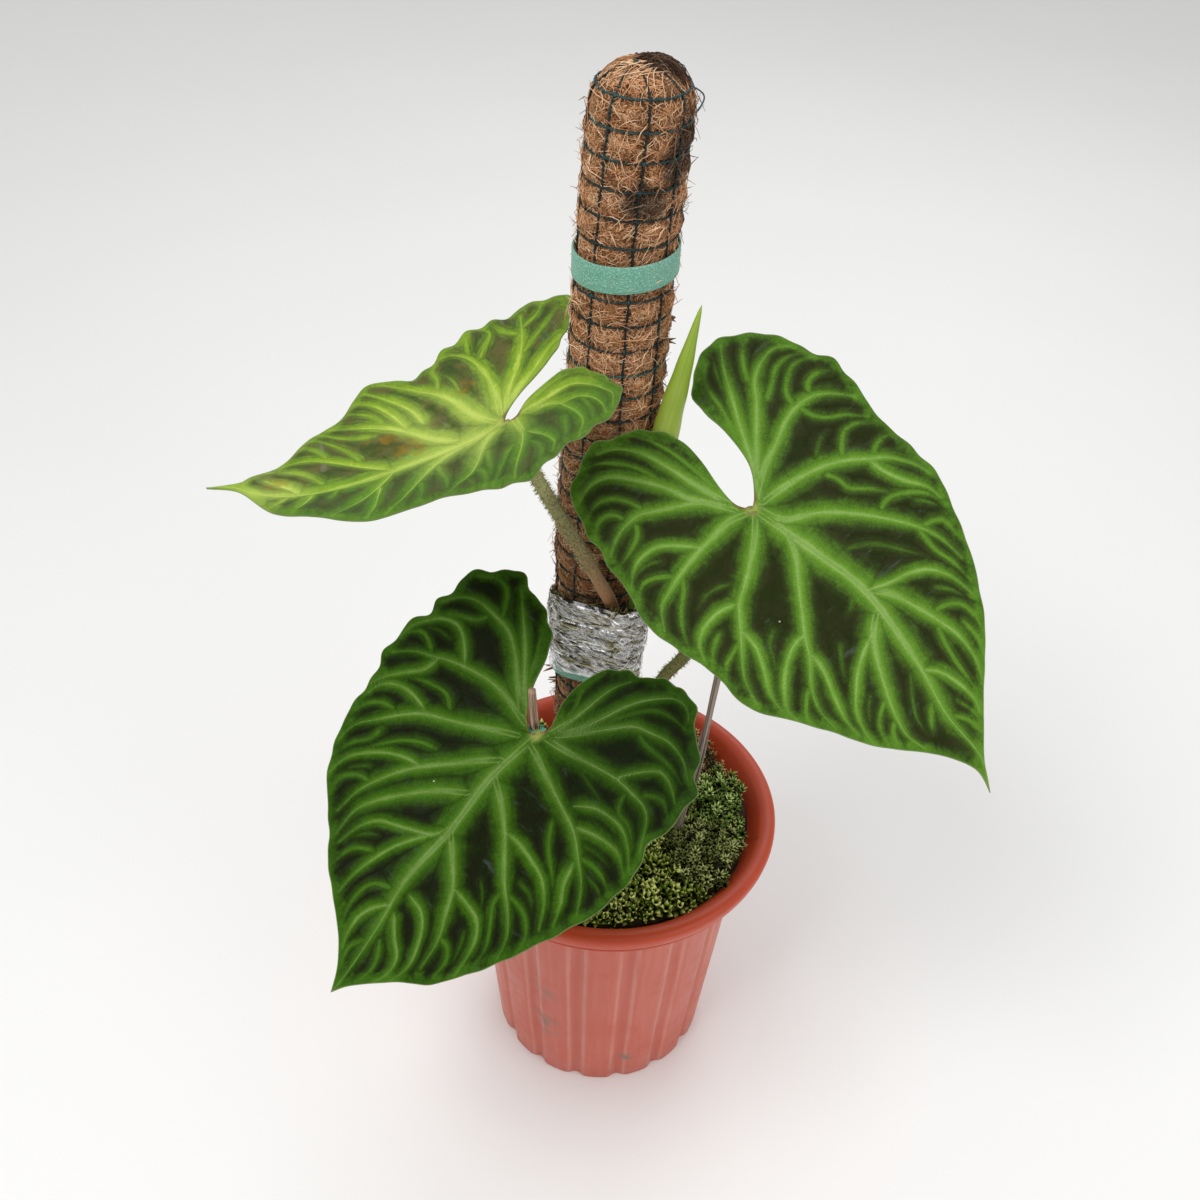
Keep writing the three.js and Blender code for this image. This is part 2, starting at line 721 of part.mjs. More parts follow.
// Height of the blade over its plane: raised halves, a tip that dips or lifts, and raised lobes.
function bladeHeight(leaf, u, v) {
  const fade = leaf.foldFade ? Math.exp(-Math.max(u, 0) / leaf.foldFade) : 1;
  const rise = (Math.sqrt(v * v + leaf.softness ** 2) - leaf.softness) * fade;
  const along = u > 0 ? -leaf.dip : leaf.lobeLift;
  return leaf.fold * rise + along * u * u - leaf.arch * v * v;
}

// Puckers between the side veins and a waved margin.
function bladeRelief(leaf, t, e) {
  const pucker = 0.8 * Math.sin(2 * Math.PI * 5 * t) * e * (1 - e) * 4;
  const wave = leaf.ripple * e ** 3 * Math.sin(2 * Math.PI * 4.3 * t + leaf.yaw);
  return pucker * Math.min(1, 5 * t) + wave * Math.min(1, 6 * t, 6 * (1 - t));
}

const curveOf = (points) => new THREE.SplineCurve(points.map(([u, v]) => new THREE.Vector2(u, v)));

// Rows run from the tip (0) to the back of the lobe (1), columns from the midrib to the margin.
function bladeSide(leaf, side) {
  const midrib = curveOf(leaf.midrib);
  const lobe = curveOf(leaf[`${side}Lobe`]);
  const margin = curveOf(leaf[side]);
  const { along, across, up } = bladeSpace(leaf);
  const rows = [];
  for (let r = 0; r <= BLADE_ROWS; r += 1) {
    const t = r / BLADE_ROWS;
    const front = t <= SINUS_ROW + 1e-9;
    const way = front ? t / SINUS_ROW : (t - SINUS_ROW) / (1 - SINUS_ROW);
    const inner = (front ? midrib : lobe).getPointAt(Math.min(1, way));
    const share = front ? SHOULDER * way : SHOULDER + (1 - SHOULDER) * way;
    const outer = margin.getPointAt(Math.min(1, share));
    const row = BLADE_COLUMNS.map((e) => {
      const flat = inner.clone().lerp(outer, e);
      const height = bladeHeight(leaf, flat.x, flat.y) + bladeRelief(leaf, t, e);
      const top = leaf.stalk.clone();
      top.addScaledVector(along, flat.x).addScaledVector(across, flat.y).addScaledVector(up, height);
      const nearRib = front ? Math.exp(-((flat.distanceTo(inner) / 4) ** 2)) * Math.min(1, 0.3 + 2 * t) : 0;
      const under = top.clone().addScaledVector(up, -BLADE_THICKNESS - MIDRIB_DEPTH * nearRib);
      return { top, under };
    });
    rows.push(row);
  }
  return rows;
}

function makeLeaf(leaf, petiolePath) {
  const points = [];
  const last = BLADE_COLUMNS.length - 1;
  const sinus = Math.round(SINUS_ROW * BLADE_ROWS);
  for (const [side, flip] of [['right', false], ['left', true]]) {
    const rows = bladeSide(leaf, side);
    const face = (a, b, c) => (flip ? points.push(a, c, b) : points.push(a, b, c));
    for (let r = 0; r < BLADE_ROWS; r += 1) {
      for (let k = 0; k < last; k += 1) {
        const [a, b, c, d] = [rows[r][k], rows[r][k + 1], rows[r + 1][k + 1], rows[r + 1][k]];
        face(a.top, b.top, c.top);
        face(a.top, c.top, d.top);
        face(a.under, c.under, b.under);
        face(a.under, d.under, c.under);
      }
      const [m, n] = [rows[r][last], rows[r + 1][last]];
      face(m.top, m.under, n.under);
      face(m.top, n.under, n.top);
      if (r >= sinus) {
        const [p, q] = [rows[r][0], rows[r + 1][0]];
        face(p.top, q.under, p.under);
        face(p.top, q.top, q.under);
      }
    }
  }
  const blade = toSolid(closedSurface(points));
  return toGeometry(blade.add(toSolid(tube(petiolePath, PETIOLE_RADIUS, 8, 14))));
}

// Strap tied around the low leaf's stalk and its cane.
function makeTie() {
  const ring = (z) => {
    const stalk = new THREE.CatmullRomCurve3(PETIOLE_LOW).getPoints(60);
    const cane = new THREE.CatmullRomCurve3(LEFT_CANE_PATH).getPoints(80);
    const nearest = (list) => list.reduce((a, b) => (Math.abs(b.z - z) < Math.abs(a.z - z) ? b : a));
    const [a, b] = [nearest(stalk), nearest(cane)];
    const points = [];
    for (let i = 0; i < 14; i += 1) {
      const angle = (i / 14) * 2 * Math.PI;
      const dir = new THREE.Vector2(Math.cos(angle), Math.sin(angle));
      const [ra, rb] = [PETIOLE_RADIUS + 1.9, LEFT_CANE_RADIUS + 1.3];
      const onStalk = ra + a.x * dir.x + a.y * dir.y > rb + b.x * dir.x + b.y * dir.y;
      const [centre, radius] = onStalk ? [a, ra] : [b, rb];
      points.push(vec(centre.x + radius * dir.x, centre.y + radius * dir.y, z));
    }
    return points;
  };
  const rings = [256.5, 262.5].map(ring);
  return cut(
    loft(rings, middleOf(rings[0]), middleOf(rings[1])),
    tube(PETIOLE_LOW, PETIOLE_RADIUS + GAP + 0.1, 8, 9),
    tube(LEFT_CANE_PATH, LEFT_CANE_RADIUS + GAP, 6, 5),
  );
}

const plant = new THREE.Group();

function add(name, geometry, color, roughness) {
  const material = new THREE.MeshStandardMaterial({ color, roughness, metalness: 0 });
  geometry.computeVertexNormals();
  const mesh = new THREE.Mesh(geometry, material);
  mesh.name = name;
  plant.add(mesh);
}

add('pot', makePot(), 0xb2483a, 0.5);
add('soil', makeSoil(), 0x3a2a1c, 0.95);
add('moss_mat', makeMoss(), 0x6d7a35, 0.95);
add('coir_pole', makePole(), 0x8f5c38, 0.95);
add('pole_net', makeNet(), 0x2d4a45, 0.6);
add('strap_upper', makeUpperStrap(), 0x62b49a, 0.85);
add('strap_lower', makeLowerStrap(), 0x62b49a, 0.85);
add('sphagnum_wad', makeWad(), 0x8c8263, 0.9);
add('wrap_film', makeFilm(), 0xe6e6e4, 0.15);
add('stem', makeStem(), 0x6f7a3c, 0.7);
add('leaf_high', makeLeaf(LEAF_HIGH, PETIOLE_HIGH), 0x5f8a2c, 0.5);
add('leaf_right', makeLeaf(LEAF_RIGHT, PETIOLE_RIGHT), 0x2f5a1c, 0.5);
add('leaf_low', makeLeaf(LEAF_LOW, PETIOLE_LOW), 0x2b5a1a, 0.5);
add('new_leaf', newLeafBody(0), 0x9db84a, 0.5);
add('cane_right', tube(RIGHT_CANE_PATH, RIGHT_CANE_RADIUS, 6, 5), 0x8a7468, 0.8);
add('cane_left', tube(LEFT_CANE_PATH, LEFT_CANE_RADIUS, 6, 5), 0xc0987c, 0.8);
add('tie_low', makeTie(), 0x7cc4a6, 0.85);

export default plant;
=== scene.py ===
import logging
import math
from dataclasses import dataclass, field
from enum import Enum
from typing import Any, Callable, ClassVar, Sequence

import bmesh
import bpy
import numpy as np
from mathutils import Matrix, Vector


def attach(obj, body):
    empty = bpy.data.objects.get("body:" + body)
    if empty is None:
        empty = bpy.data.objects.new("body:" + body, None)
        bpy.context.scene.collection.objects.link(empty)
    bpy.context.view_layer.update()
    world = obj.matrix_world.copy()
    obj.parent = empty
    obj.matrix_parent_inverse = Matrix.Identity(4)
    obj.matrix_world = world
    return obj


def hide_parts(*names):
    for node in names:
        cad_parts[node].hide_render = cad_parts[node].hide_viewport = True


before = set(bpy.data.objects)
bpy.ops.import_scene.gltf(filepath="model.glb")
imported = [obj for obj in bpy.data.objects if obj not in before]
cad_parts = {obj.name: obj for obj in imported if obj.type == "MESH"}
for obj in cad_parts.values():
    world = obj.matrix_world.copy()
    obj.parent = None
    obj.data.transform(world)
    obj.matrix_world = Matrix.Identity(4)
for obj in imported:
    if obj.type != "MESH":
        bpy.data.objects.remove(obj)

# Looks of a climbing aroid in a fluted pot, its stem tied to a net-wrapped coir pole.
# Sizes in the classes are in millimetres; the meshes are made in metres, in the part's own frame.

LOG = logging.getLogger("potted_aroid")
MM = 0.001
TURN = 2 * math.pi
SOIL_LEVEL = 156.0
UP = np.array([0.0, 0.0, 1.0])

Points = np.ndarray
Material = bpy.types.Material
Piece = bpy.types.Object
Draw = np.random.Generator
Triple = tuple[float, float, float]
Flat = tuple[tuple[float, float], ...]
Path = tuple[Triple, ...]


def tint(code: str) -> Triple:
    """Turns a hex colour as seen on screen into linear light.

    Args:
        code: six hex digits.

    Returns:
        Red, green and blue in linear light.
    """
    parts = [int(code[i:i + 2], 16) / 255 for i in (0, 2, 4)]
    return tuple(c / 12.92 if c <= 0.04045 else ((c + 0.055) / 1.055) ** 2.4 for c in parts)


# Lines through knots, and how they are divided.

def even_points(line: Points, count: int) -> Points:
    """Spaces points evenly along a dense line.

    Args:
        line: the dense line, one point a row.
        count: how many points are wanted.

    Returns:
        The evenly spaced points.
    """
    return share_points(line, np.linspace(0.0, 1.0, count))


def share_points(line: Points, shares: Points) -> Points:
    """Finds the points at the given shares of a dense line's length.

    Args:
        line: the dense line, one point a row.
        shares: values from 0 to 1.

    Returns:
        One point for each share.
    """
    run = np.concatenate([[0.0], np.cumsum(np.linalg.norm(np.diff(line, axis=0), axis=1))])
    at = np.asarray(shares) * run[-1]
    return np.stack([np.interp(at, run, line[:, k]) for k in range(line.shape[1])], axis=1)


def cubic(start: Points, end: Points, leave: Points, arrive: Points, steps: int) -> Points:
    """Points of a cubic between two knots, from its slopes at both, without its end."""
    t = np.linspace(0.0, 1.0, steps, endpoint=False)[:, None]
    third = 2 * start - 2 * end + leave + arrive
    second = 3 * end - 3 * start - 2 * leave - arrive
    return third * t ** 3 + second * t ** 2 + leave * t + start


def flat_curve(knots: Sequence[Sequence[float]], steps: int = 16) -> Points:
    """Draws a smooth line through knots in a leaf's plane.

    Args:
        knots: the points that the line passes through.
        steps: points between two knots.

    Returns:
        A dense line.
    """
    p = np.asarray(knots, float)
    padded = np.vstack([p[:1], p, p[-1:]])
    parts = []
    for k in range(len(p) - 1):
        a, b, c, d = padded[k:k + 4]
        parts.append(cubic(b, c, (c - a) / 2, (d - b) / 2, steps))
    return np.vstack([*parts, p[-1:]])


def stalk_curve(knots: Sequence[Sequence[float]], steps: int = 20) -> Points:
    """Draws a smooth line through knots in space, even where they lie at uneven distances.

    Args:
        knots: the points that the line passes through.
        steps: points between two knots.

    Returns:
        A dense line.
    """
    p = np.asarray(knots, float)
    padded = np.vstack([2 * p[0] - p[1], p, 2 * p[-1] - p[-2]])
    parts = []
    for k in range(len(p) - 1):
        a, b, c, d = padded[k:k + 4]
        da, db, dc = (math.sqrt(float(np.linalg.norm(y - x))) for x, y in ((a, b), (b, c), (c, d)))
        m = ((b - a) / da - (c - a) / (da + db) + (c - b) / db) * db
        n = ((c - b) / db - (d - b) / (db + dc) + (d - c) / dc) * db
        parts.append(cubic(b, c, m, n, steps))
    return np.vstack([*parts, p[-1:]])


def compass(count: int) -> Points:
    """Directions of the corners of a ring, in radians."""
    return np.arange(count) * TURN / count


def bearing(angles: Points) -> Points:
    """Level directions at some angles in radians, as two numbers each."""
    return np.stack([np.cos(angles), np.sin(angles)], axis=-1)


def unit(vectors: Points) -> Points:
    """Scales vectors to length 1."""
    return vectors / np.maximum(np.linalg.norm(vectors, axis=-1, keepdims=True), 1e-9)


def smooth(low: float, high: float, value: Points) -> Points:
    """Rises from 0 at low to 1 at high with soft ends."""
    t = np.clip((value - low) / (high - low), 0.0, 1.0)
    return t * t * (3 - 2 * t)


# Meshes: bodies gathered from rings and strands, and work on one primitive.

@dataclass
class Stock:
    """Corners, faces and per-corner values gathered for one mesh."""

    corners: list[Points] = field(default_factory=list)
    faces: list[Points] = field(default_factory=list)
    values: dict[str, list[Points]] = field(default_factory=dict)
    count: int = 0

    def add(self, corners: Points, faces: Sequence[Points], **values: Any) -> None:
        """Adds a body.

        Args:
            corners: points in millimetres.
            faces: arrays of corner numbers, three or four a row.
            values: named values, one number or one for each corner.
        """
        for part in faces:
            self.faces.append(np.asarray(part, int) + self.count)
        self.corners.append(np.asarray(corners, float))
        for name, value in values.items():
            shape = (len(corners),) if np.ndim(value) < 2 else np.shape(value)
            self.values.setdefault(name, []).append(np.broadcast_to(np.asarray(value, float), shape))
        self.count += len(corners)

    def piece(self, name: str, finishes: Sequence[Material]) -> Piece:
        """Makes the mesh object, smooth-shaded.

        Args:
            name: the piece's name.
            finishes: its materials, in slot order.

        Returns:
            The new object.
        """
        mesh = bpy.data.meshes.new(name)
        rows = [row for part in self.faces for row in part.tolist()]
        mesh.from_pydata(np.vstack(self.corners) * MM, [], rows, shade_flat=False)
        for key, parts in self.values.items():
            data = np.concatenate(parts).astype(np.float32)
            kind, slot = ("FLOAT", "value") if data.ndim == 1 else ("FLOAT_VECTOR", "vector")
            mesh.attributes.new(key, kind, "POINT").data.foreach_set(slot, data.ravel())
        for finish in finishes:
            mesh.materials.append(finish)
        made = bpy.data.objects.new(name, mesh)
        bpy.context.scene.collection.objects.link(made)
        return made


def grid_faces(rows: int, around: int, closed: bool = True) -> Points:
    """Numbers the four-sided faces of a skin of rings.

    Args:
        rows: how many rings there are.
        around: corners in a ring.
        closed: whether each ring joins up with its own start.

    Returns:
        Corner numbers, four a row.
    """
    i = np.arange(around if closed else around - 1)
    j = (i + 1) % around
    base = (np.arange(rows - 1) * around)[:, None]
    return np.stack([base + i, base + j, base + around + j, base + around + i], axis=-1).reshape(-1, 4)


def cap_faces(rows: int, around: int) -> tuple[Points, Points]:
    """Numbers the fans from a first and a last extra corner that close a skin of rings."""
    i = np.arange(around)
    j = (i + 1) % around
    last = (rows - 1) * around
    low, high = rows * around, rows * around + 1
    start = np.stack([np.full(around, low), j, i], axis=-1)
    end = np.stack([np.full(around, high), last + i, last + j], axis=-1)
    return start, end


def strands(stock: Stock, lines: Points, radius: Points, away: Points, sides: int, **values: Points) -> None:
    """Adds many thin closed strands at once.

    Args:
        stock: where they go.
        lines: points of each strand, as strand, point, axis.
        radius: radius at each point of each strand.
        away: a direction for each point of each strand that its first side faces.
        sides: sides of the section.
        values: named values for each point of each strand.
    """
    count, steps = lines.shape[:2]
    ahead = unit(np.gradient(lines, axis=1))
    side = unit(np.cross(ahead, away))
    up = np.cross(side, ahead)
    turn = compass(sides)
    ring = lines[:, :, None] + radius[:, :, None, None] * (
        np.cos(turn)[:, None] * up[:, :, None] + np.sin(turn)[:, None] * side[:, :, None])
    ends = np.stack([lines[:, 0], lines[:, -1]], axis=1)
    corners = np.concatenate([ring.reshape(count, -1, 3), ends], axis=1)
    size = corners.shape[1]
    shift = (np.arange(count) * size)[:, None, None]
    skin = (grid_faces(steps, sides)[None] + shift).reshape(-1, 4)
    caps = [(part[None] + shift).reshape(-1, 3) for part in cap_faces(steps, sides)]
    spread = {}
    for key, value in values.items():
        value = np.broadcast_to(value, (count, steps))
        body = np.repeat(value[:, :, None], sides, axis=2).reshape(count, -1)
        spread[key] = np.concatenate([body, value[:, :1], value[:, -1:]], axis=1).ravel()
    stock.add(corners.reshape(-1, 3), [skin[:, ::-1], *[cap[:, ::-1] for cap in caps]], **spread)


def strand(stock: Stock, line: Points, radius: Any, away: Any, sides: int, **values: Any) -> None:
    """Adds one closed strand; its radius and what its first side faces may be given once for all points."""
    strands(stock, line[None], np.broadcast_to(radius, len(line))[None], away, sides, **values)


def hues(draw: Draw, middle: float, spread: float, count: int, least: float = 0.0) -> Points:
    """One tone for each of many strands, scattered round a middle value."""
    return np.clip(draw.normal(middle, spread, count), least, 1.0)[:, None]


def settle(piece: Piece, nodes: Sequence[str]) -> Piece:
    """Ties a finished piece to the part.

    Args:
        piece: the finished piece.
        nodes: solids that it stands for.

    Returns:
        The same piece.
    """
    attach(piece, "root")
    if nodes:
        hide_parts(*nodes)
    LOG.info("%s: %d faces", piece.name, len(piece.data.polygons))
    return piece


class Bench:
    """Edit-mode work on one primitive at a time."""

    @staticmethod
    def clear() -> None:
        """Leaves edit mode and selects nothing."""
        if bpy.context.object and bpy.context.object.mode != "OBJECT":
            bpy.ops.object.mode_set(mode="OBJECT")
        bpy.ops.object.select_all(action="DESELECT")

    @staticmethod
    def ring(radius: float, height: float, corners: int, middle: tuple[float, float] = (0.0, 0.0),
             fill: str = "NOTHING") -> Piece:
        """Starts a piece from a circle and opens it for editing.

        Args:
            radius: circle radius.
            height: its height.
            corners: how many corners it has.
            middle: its centre in plan.
            fill: whether it is filled.

        Returns:
            The new object, in edit mode.
        """
        Bench.clear()
        bpy.ops.mesh.primitive_circle_add(vertices=corners, radius=radius * MM, fill_type=fill,
                                          location=(middle[0] * MM, middle[1] * MM, height * MM))
        made = bpy.context.object
        bpy.ops.object.transform_apply(location=True, rotation=True, scale=True)
        bpy.ops.object.mode_set(mode="EDIT")
        bpy.ops.mesh.select_all(action="SELECT")
        return made

    @staticmethod
    def climb(outline: Sequence[tuple[float, float]], start: tuple[float, float]) -> None:
        """Extrudes the selected ring along a profile of heights and radii.

        Args:
            outline: height and radius of each next ring.
            start: height and radius of the selected ring.
        """
        height, radius = start
        for z, r in outline:
            lift = {"value": (0.0, 0.0, (z - height) * MM)}
            bpy.ops.mesh.extrude_region_move(TRANSFORM_OT_translate=lift)
            Bench.widen(r / radius, (0.0, 0.0, z * MM))
            height, radius = z, r

    @staticmethod
    def widen(share: float, middle: Triple) -> None:
        """Scales what is selected sideways, about a point in metres."""
        bpy.ops.transform.resize(value=(share, share, 1.0), center_override=middle)

    @staticmethod
    def pick(test: Callable[[Vector], bool]) -> None:
        """Selects the corners whose place, in millimetres, passes a test."""
        work = bmesh.from_edit_mesh(bpy.context.object.data)
        for face in work.faces:
            face.select_set(False)
        for edge in work.edges:
            edge.select_set(False)
        for corner in work.verts:
            corner.select_set(bool(test(corner.co / MM)))
        bmesh.update_edit_mesh(bpy.context.object.data)

    @staticmethod
    def finish(made: Piece, name: str, angle: float = 40.0) -> Piece:
        """Closes editing with outward faces and shading that keeps the sharp edges.

        Args:
            made: the piece.
            name: its name.
            angle: edges sharper than this stay sharp, in degrees.

        Returns:
            The piece.
        """
        bpy.context.view_layer.objects.active = made
        if made.mode != "EDIT":
            bpy.ops.object.mode_set(mode="EDIT")
        bpy.ops.mesh.select_all(action="SELECT")
        bpy.ops.mesh.remove_doubles(threshold=1e-6)
        bpy.ops.mesh.normals_make_consistent(inside=False)
        bpy.ops.object.mode_set(mode="OBJECT")
        Bench.clear()
        made.select_set(True)
        bpy.context.view_layer.objects.active = made
        bpy.ops.object.shade_smooth_by_angle(angle=math.radians(angle))
        made.name = name
        made.data.name = name
        made.data.materials.clear()
        Bench.clear()
        return made

    @staticmethod
    def apply(made: Piece, kind: str, **settings: Any) -> None:
        """Adds a modifier and applies it.

        Args:
            made: the piece.
            kind: the modifier's type.
            settings: its settings.
        """
        Bench.clear()
        bpy.context.view_layer.objects.active = made
        made.select_set(True)
        step = made.modifiers.new(kind.lower(), kind)
        for key, value in settings.items():
            setattr(step, key, value)
        bpy.ops.object.modifier_apply(modifier=step.name)


# Finishes: shader arithmetic, then one class for each surface of the plant.

class Signal:
    """A shader socket that arithmetic can be written with."""

    def __init__(self, board: "Board", socket: bpy.types.NodeSocket) -> None:
        """Keeps the socket and the board that it is on."""
        self.board = board
        self.socket = socket

    def _pair(self, operation: str, first: Any, second: Any) -> "Signal":
        """Adds one Math node for two values."""
        return self.board.node("ShaderNodeMath", {"operation": operation}, {0: first, 1: second})

    def __add__(self, other: Any) -> "Signal":
        """Sum."""
        return self._pair("ADD", self, other)

    def __radd__(self, other: Any) -> "Signal":
        """Sum, the other way round."""
        return self._pair("ADD", other, self)

    def __sub__(self, other: Any) -> "Signal":
        """Difference."""
        return self._pair("SUBTRACT", self, other)

    def __rsub__(self, other: Any) -> "Signal":
        """Difference, the other way round."""
        return self._pair("SUBTRACT", other, self)

    def __mul__(self, other: Any) -> "Signal":
        """Product."""
        return self._pair("MULTIPLY", self, other)

    def __rmul__(self, other: Any) -> "Signal":
        """Product, the other way round."""
        return self._pair("MULTIPLY", other, self)

    def __truediv__(self, other: Any) -> "Signal":
        """Quotient."""
        return self._pair("DIVIDE", self, other)

    def __rtruediv__(self, other: Any) -> "Signal":
        """Quotient, the other way round."""
        return self._pair("DIVIDE", other, self)

    def __pow__(self, other: Any) -> "Signal":
        """Power."""
        return self._pair("POWER", self, other)

    def __rpow__(self, other: Any) -> "Signal":
        """Power, the other way round."""
        return self._pair("POWER", other, self)

    def __abs__(self) -> "Signal":
        """Size without sign."""
        return self._pair("ABSOLUTE", self, 0.0)

    def least(self, other: Any) -> "Signal":
        """The smaller of two values."""
        return self._pair("MINIMUM", self, other)

    def most(self, other: Any) -> "Signal":
        """The larger of two values."""
        return self._pair("MAXIMUM", self, other)

    def rise(self, low: float, high: float, start: float = 0.0, end: float = 1.0) -> "Signal":
        """Goes softly from start to end while this value goes from low to high."""
        sockets = {"Value": self, "From Min": low, "From Max": high, "To Min": start, "To Max": end}
        return self.board.node("ShaderNodeMapRange", {"interpolation_type": "SMOOTHSTEP"}, sockets)

    def fall(self, low: float, high: float, start: float = 1.0) -> "Signal":
        """Goes softly from start to 0 while this value goes from low to high."""
        return self.rise(low, high, start, 0.0)


class Board:
    """The shader nodes of one finish."""

    def __init__(self, name: str) -> None:
        """Starts an empty material with that name."""
        self.material = bpy.data.materials.new(name)
        self.material.use_nodes = True
        self.tree = self.material.node_tree
        self.tree.nodes.clear()

    def node(self, kind: str, settings: dict[str, Any] | None = None, sockets: dict[Any, Any] | None = None,
             output: Any = 0) -> Signal:
        """Adds any node.

        Args:
            kind: the node's type.
            settings: its settings; "stops" are a ramp's places and colours.
            sockets: a number, colour or signal for each input socket.
            output: the output socket that is wanted.

        Returns:
            That output.
        """
        made = self.tree.nodes.new(kind)
        for key, value in (settings or {}).items():
            if key == "stops":
                while len(made.color_ramp.elements) < len(value):
                    made.color_ramp.elements.new(1.0)
                for stop, (place, colour) in zip(made.color_ramp.elements, value.items()):
                    stop.position = place
                    stop.color = (*tint(colour), 1.0)
            else:
                setattr(made, key, value)
        for key, value in (sockets or {}).items():
            self.feed(made.inputs[key], value)
        return Signal(self, made.outputs[output])

    def feed(self, socket: bpy.types.NodeSocket, value: Any) -> None:
        """Links a signal to a socket, or sets the socket to a number, a vector or a colour's code."""
        if isinstance(value, Signal):
            self.tree.links.new(value.socket, socket)
        elif isinstance(value, str):
            socket.default_value = (*tint(value), 1.0)
        else:
            socket.default_value = value

    def place(self) -> Signal:
        """Object coordinates in millimetres."""
        spot = self.node("ShaderNodeTexCoord", output="Object")
        return self.node("ShaderNodeVectorMath", {"operation": "SCALE"}, {0: spot, "Scale": 1 / MM})

    def value(self, name: str) -> Signal:
        """A value that the piece's corners carry."""
        return self.node("ShaderNodeAttribute", {"attribute_name": name}, output="Fac")

    def vector(self, name: str) -> Signal:
        """A vector that the piece's corners carry."""
        return self.node("ShaderNodeAttribute", {"attribute_name": name}, output="Vector")

    def axes(self, spot: Signal) -> tuple[Signal, Signal, Signal]:
        """X, Y and Z of a vector."""
        x = self.node("ShaderNodeSeparateXYZ", sockets={0: spot})
        made = x.socket.node
        return x, Signal(self, made.outputs[1]), Signal(self, made.outputs[2])

    def point(self, x: Any, y: Any, z: Any) -> Signal:
        """A vector from three values."""
        return self.node("ShaderNodeCombineXYZ", sockets={0: x, 1: y, 2: z})

    def stretch(self, spot: Signal, scale: Triple, turn: Triple = (0.0, 0.0, 0.0)) -> Signal:
        """Scales and turns coordinates, the turn in degrees."""
        angles = tuple(math.radians(a) for a in turn)
        return self.node("ShaderNodeMapping", sockets={"Vector": spot, "Rotation": angles, "Scale": scale})

    def noise(self, spot: Signal, scale: float, detail: float = 2.0, rough: float = 0.5,
              twist: float = 0.0) -> Signal:
        """Soft noise from 0 to 1, with that many waves a millimetre."""
        sockets = {"Vector": spot, "Scale": scale, "Detail": detail, "Roughness": rough, "Distortion": twist}
        return self.node("ShaderNodeTexNoise", sockets=sockets)

    def cells(self, spot: Signal, scale: float, feature: str = "F1") -> Signal:
        """Distance to the nearest of scattered points, or to the edge between two."""
        return self.node("ShaderNodeTexVoronoi", {"feature": feature}, {"Vector": spot, "Scale": scale})

    def mix(self, share: Any, first: Any, second: Any) -> Signal:
        """Mixes two colours."""
        settings = {"data_type": "RGBA", "clamp_factor": True}
        return self.node("ShaderNodeMix", settings, {0: share, 6: first, 7: second}, output=2)

    def ramp(self, value: Signal, stops: dict[float, str]) -> Signal:
        """Colours a value by its place among the stops."""
        return self.node("ShaderNodeValToRGB", {"stops": stops}, {0: value})

    def spot(self, spot: Signal, middle: Triple, near: float, far: float) -> Signal:
        """1 around a point, falling to 0 between two distances."""
        settings, sockets = {"operation": "DISTANCE"}, {0: spot, 1: middle}
        return self.node("ShaderNodeVectorMath", settings, sockets, output="Value").fall(near, far)

    def skin(self, colour: Any, rough: Any, height: Signal | None = None, depth: float = 0.3,
             strength: float = 1.0, shine: float = 0.5, **sockets: Any) -> Material:
        """Ends the finish in one shader.

        Args:
            colour: base colour.
            rough: roughness.
            height: relief, if any, from 0 to 1.
            depth: how deep the relief is, in millimetres.
            strength: share of the relief that shows.
            shine: strength of the highlight.
            sockets: constant values for other sockets, with spaces written as underscores.

        Returns:
            The material.
        """
        inputs = {"Base Color": colour, "Roughness": rough, "Specular IOR Level": shine}
        inputs |= {key.replace("_", " "): value for key, value in sockets.items()}
        if height is not None:
            bump = {"Strength": strength, "Distance": depth * MM, "Height": height}
            inputs["Normal"] = self.node("ShaderNodeBump", sockets=bump)
        shader = self.node("ShaderNodeBsdfPrincipled", sockets=inputs)
        end = self.tree.nodes.new("ShaderNodeOutputMaterial")
        self.tree.links.new(shader.socket, end.inputs["Surface"])
        return self.material


@dataclass(frozen=True)
class Finish:
    """What the finishes share: the material's name, and a board with the coordinates to paint by."""

    name: str

    def dress(self) -> Material:
        """Makes the material."""
        board = Board(self.name)
        return self.paint(board, board.place())

    def paint(self, b: Board, at: Signal) -> Material:
        """Lays the shader nodes, which each finish does in its own way."""
        raise NotImplementedError


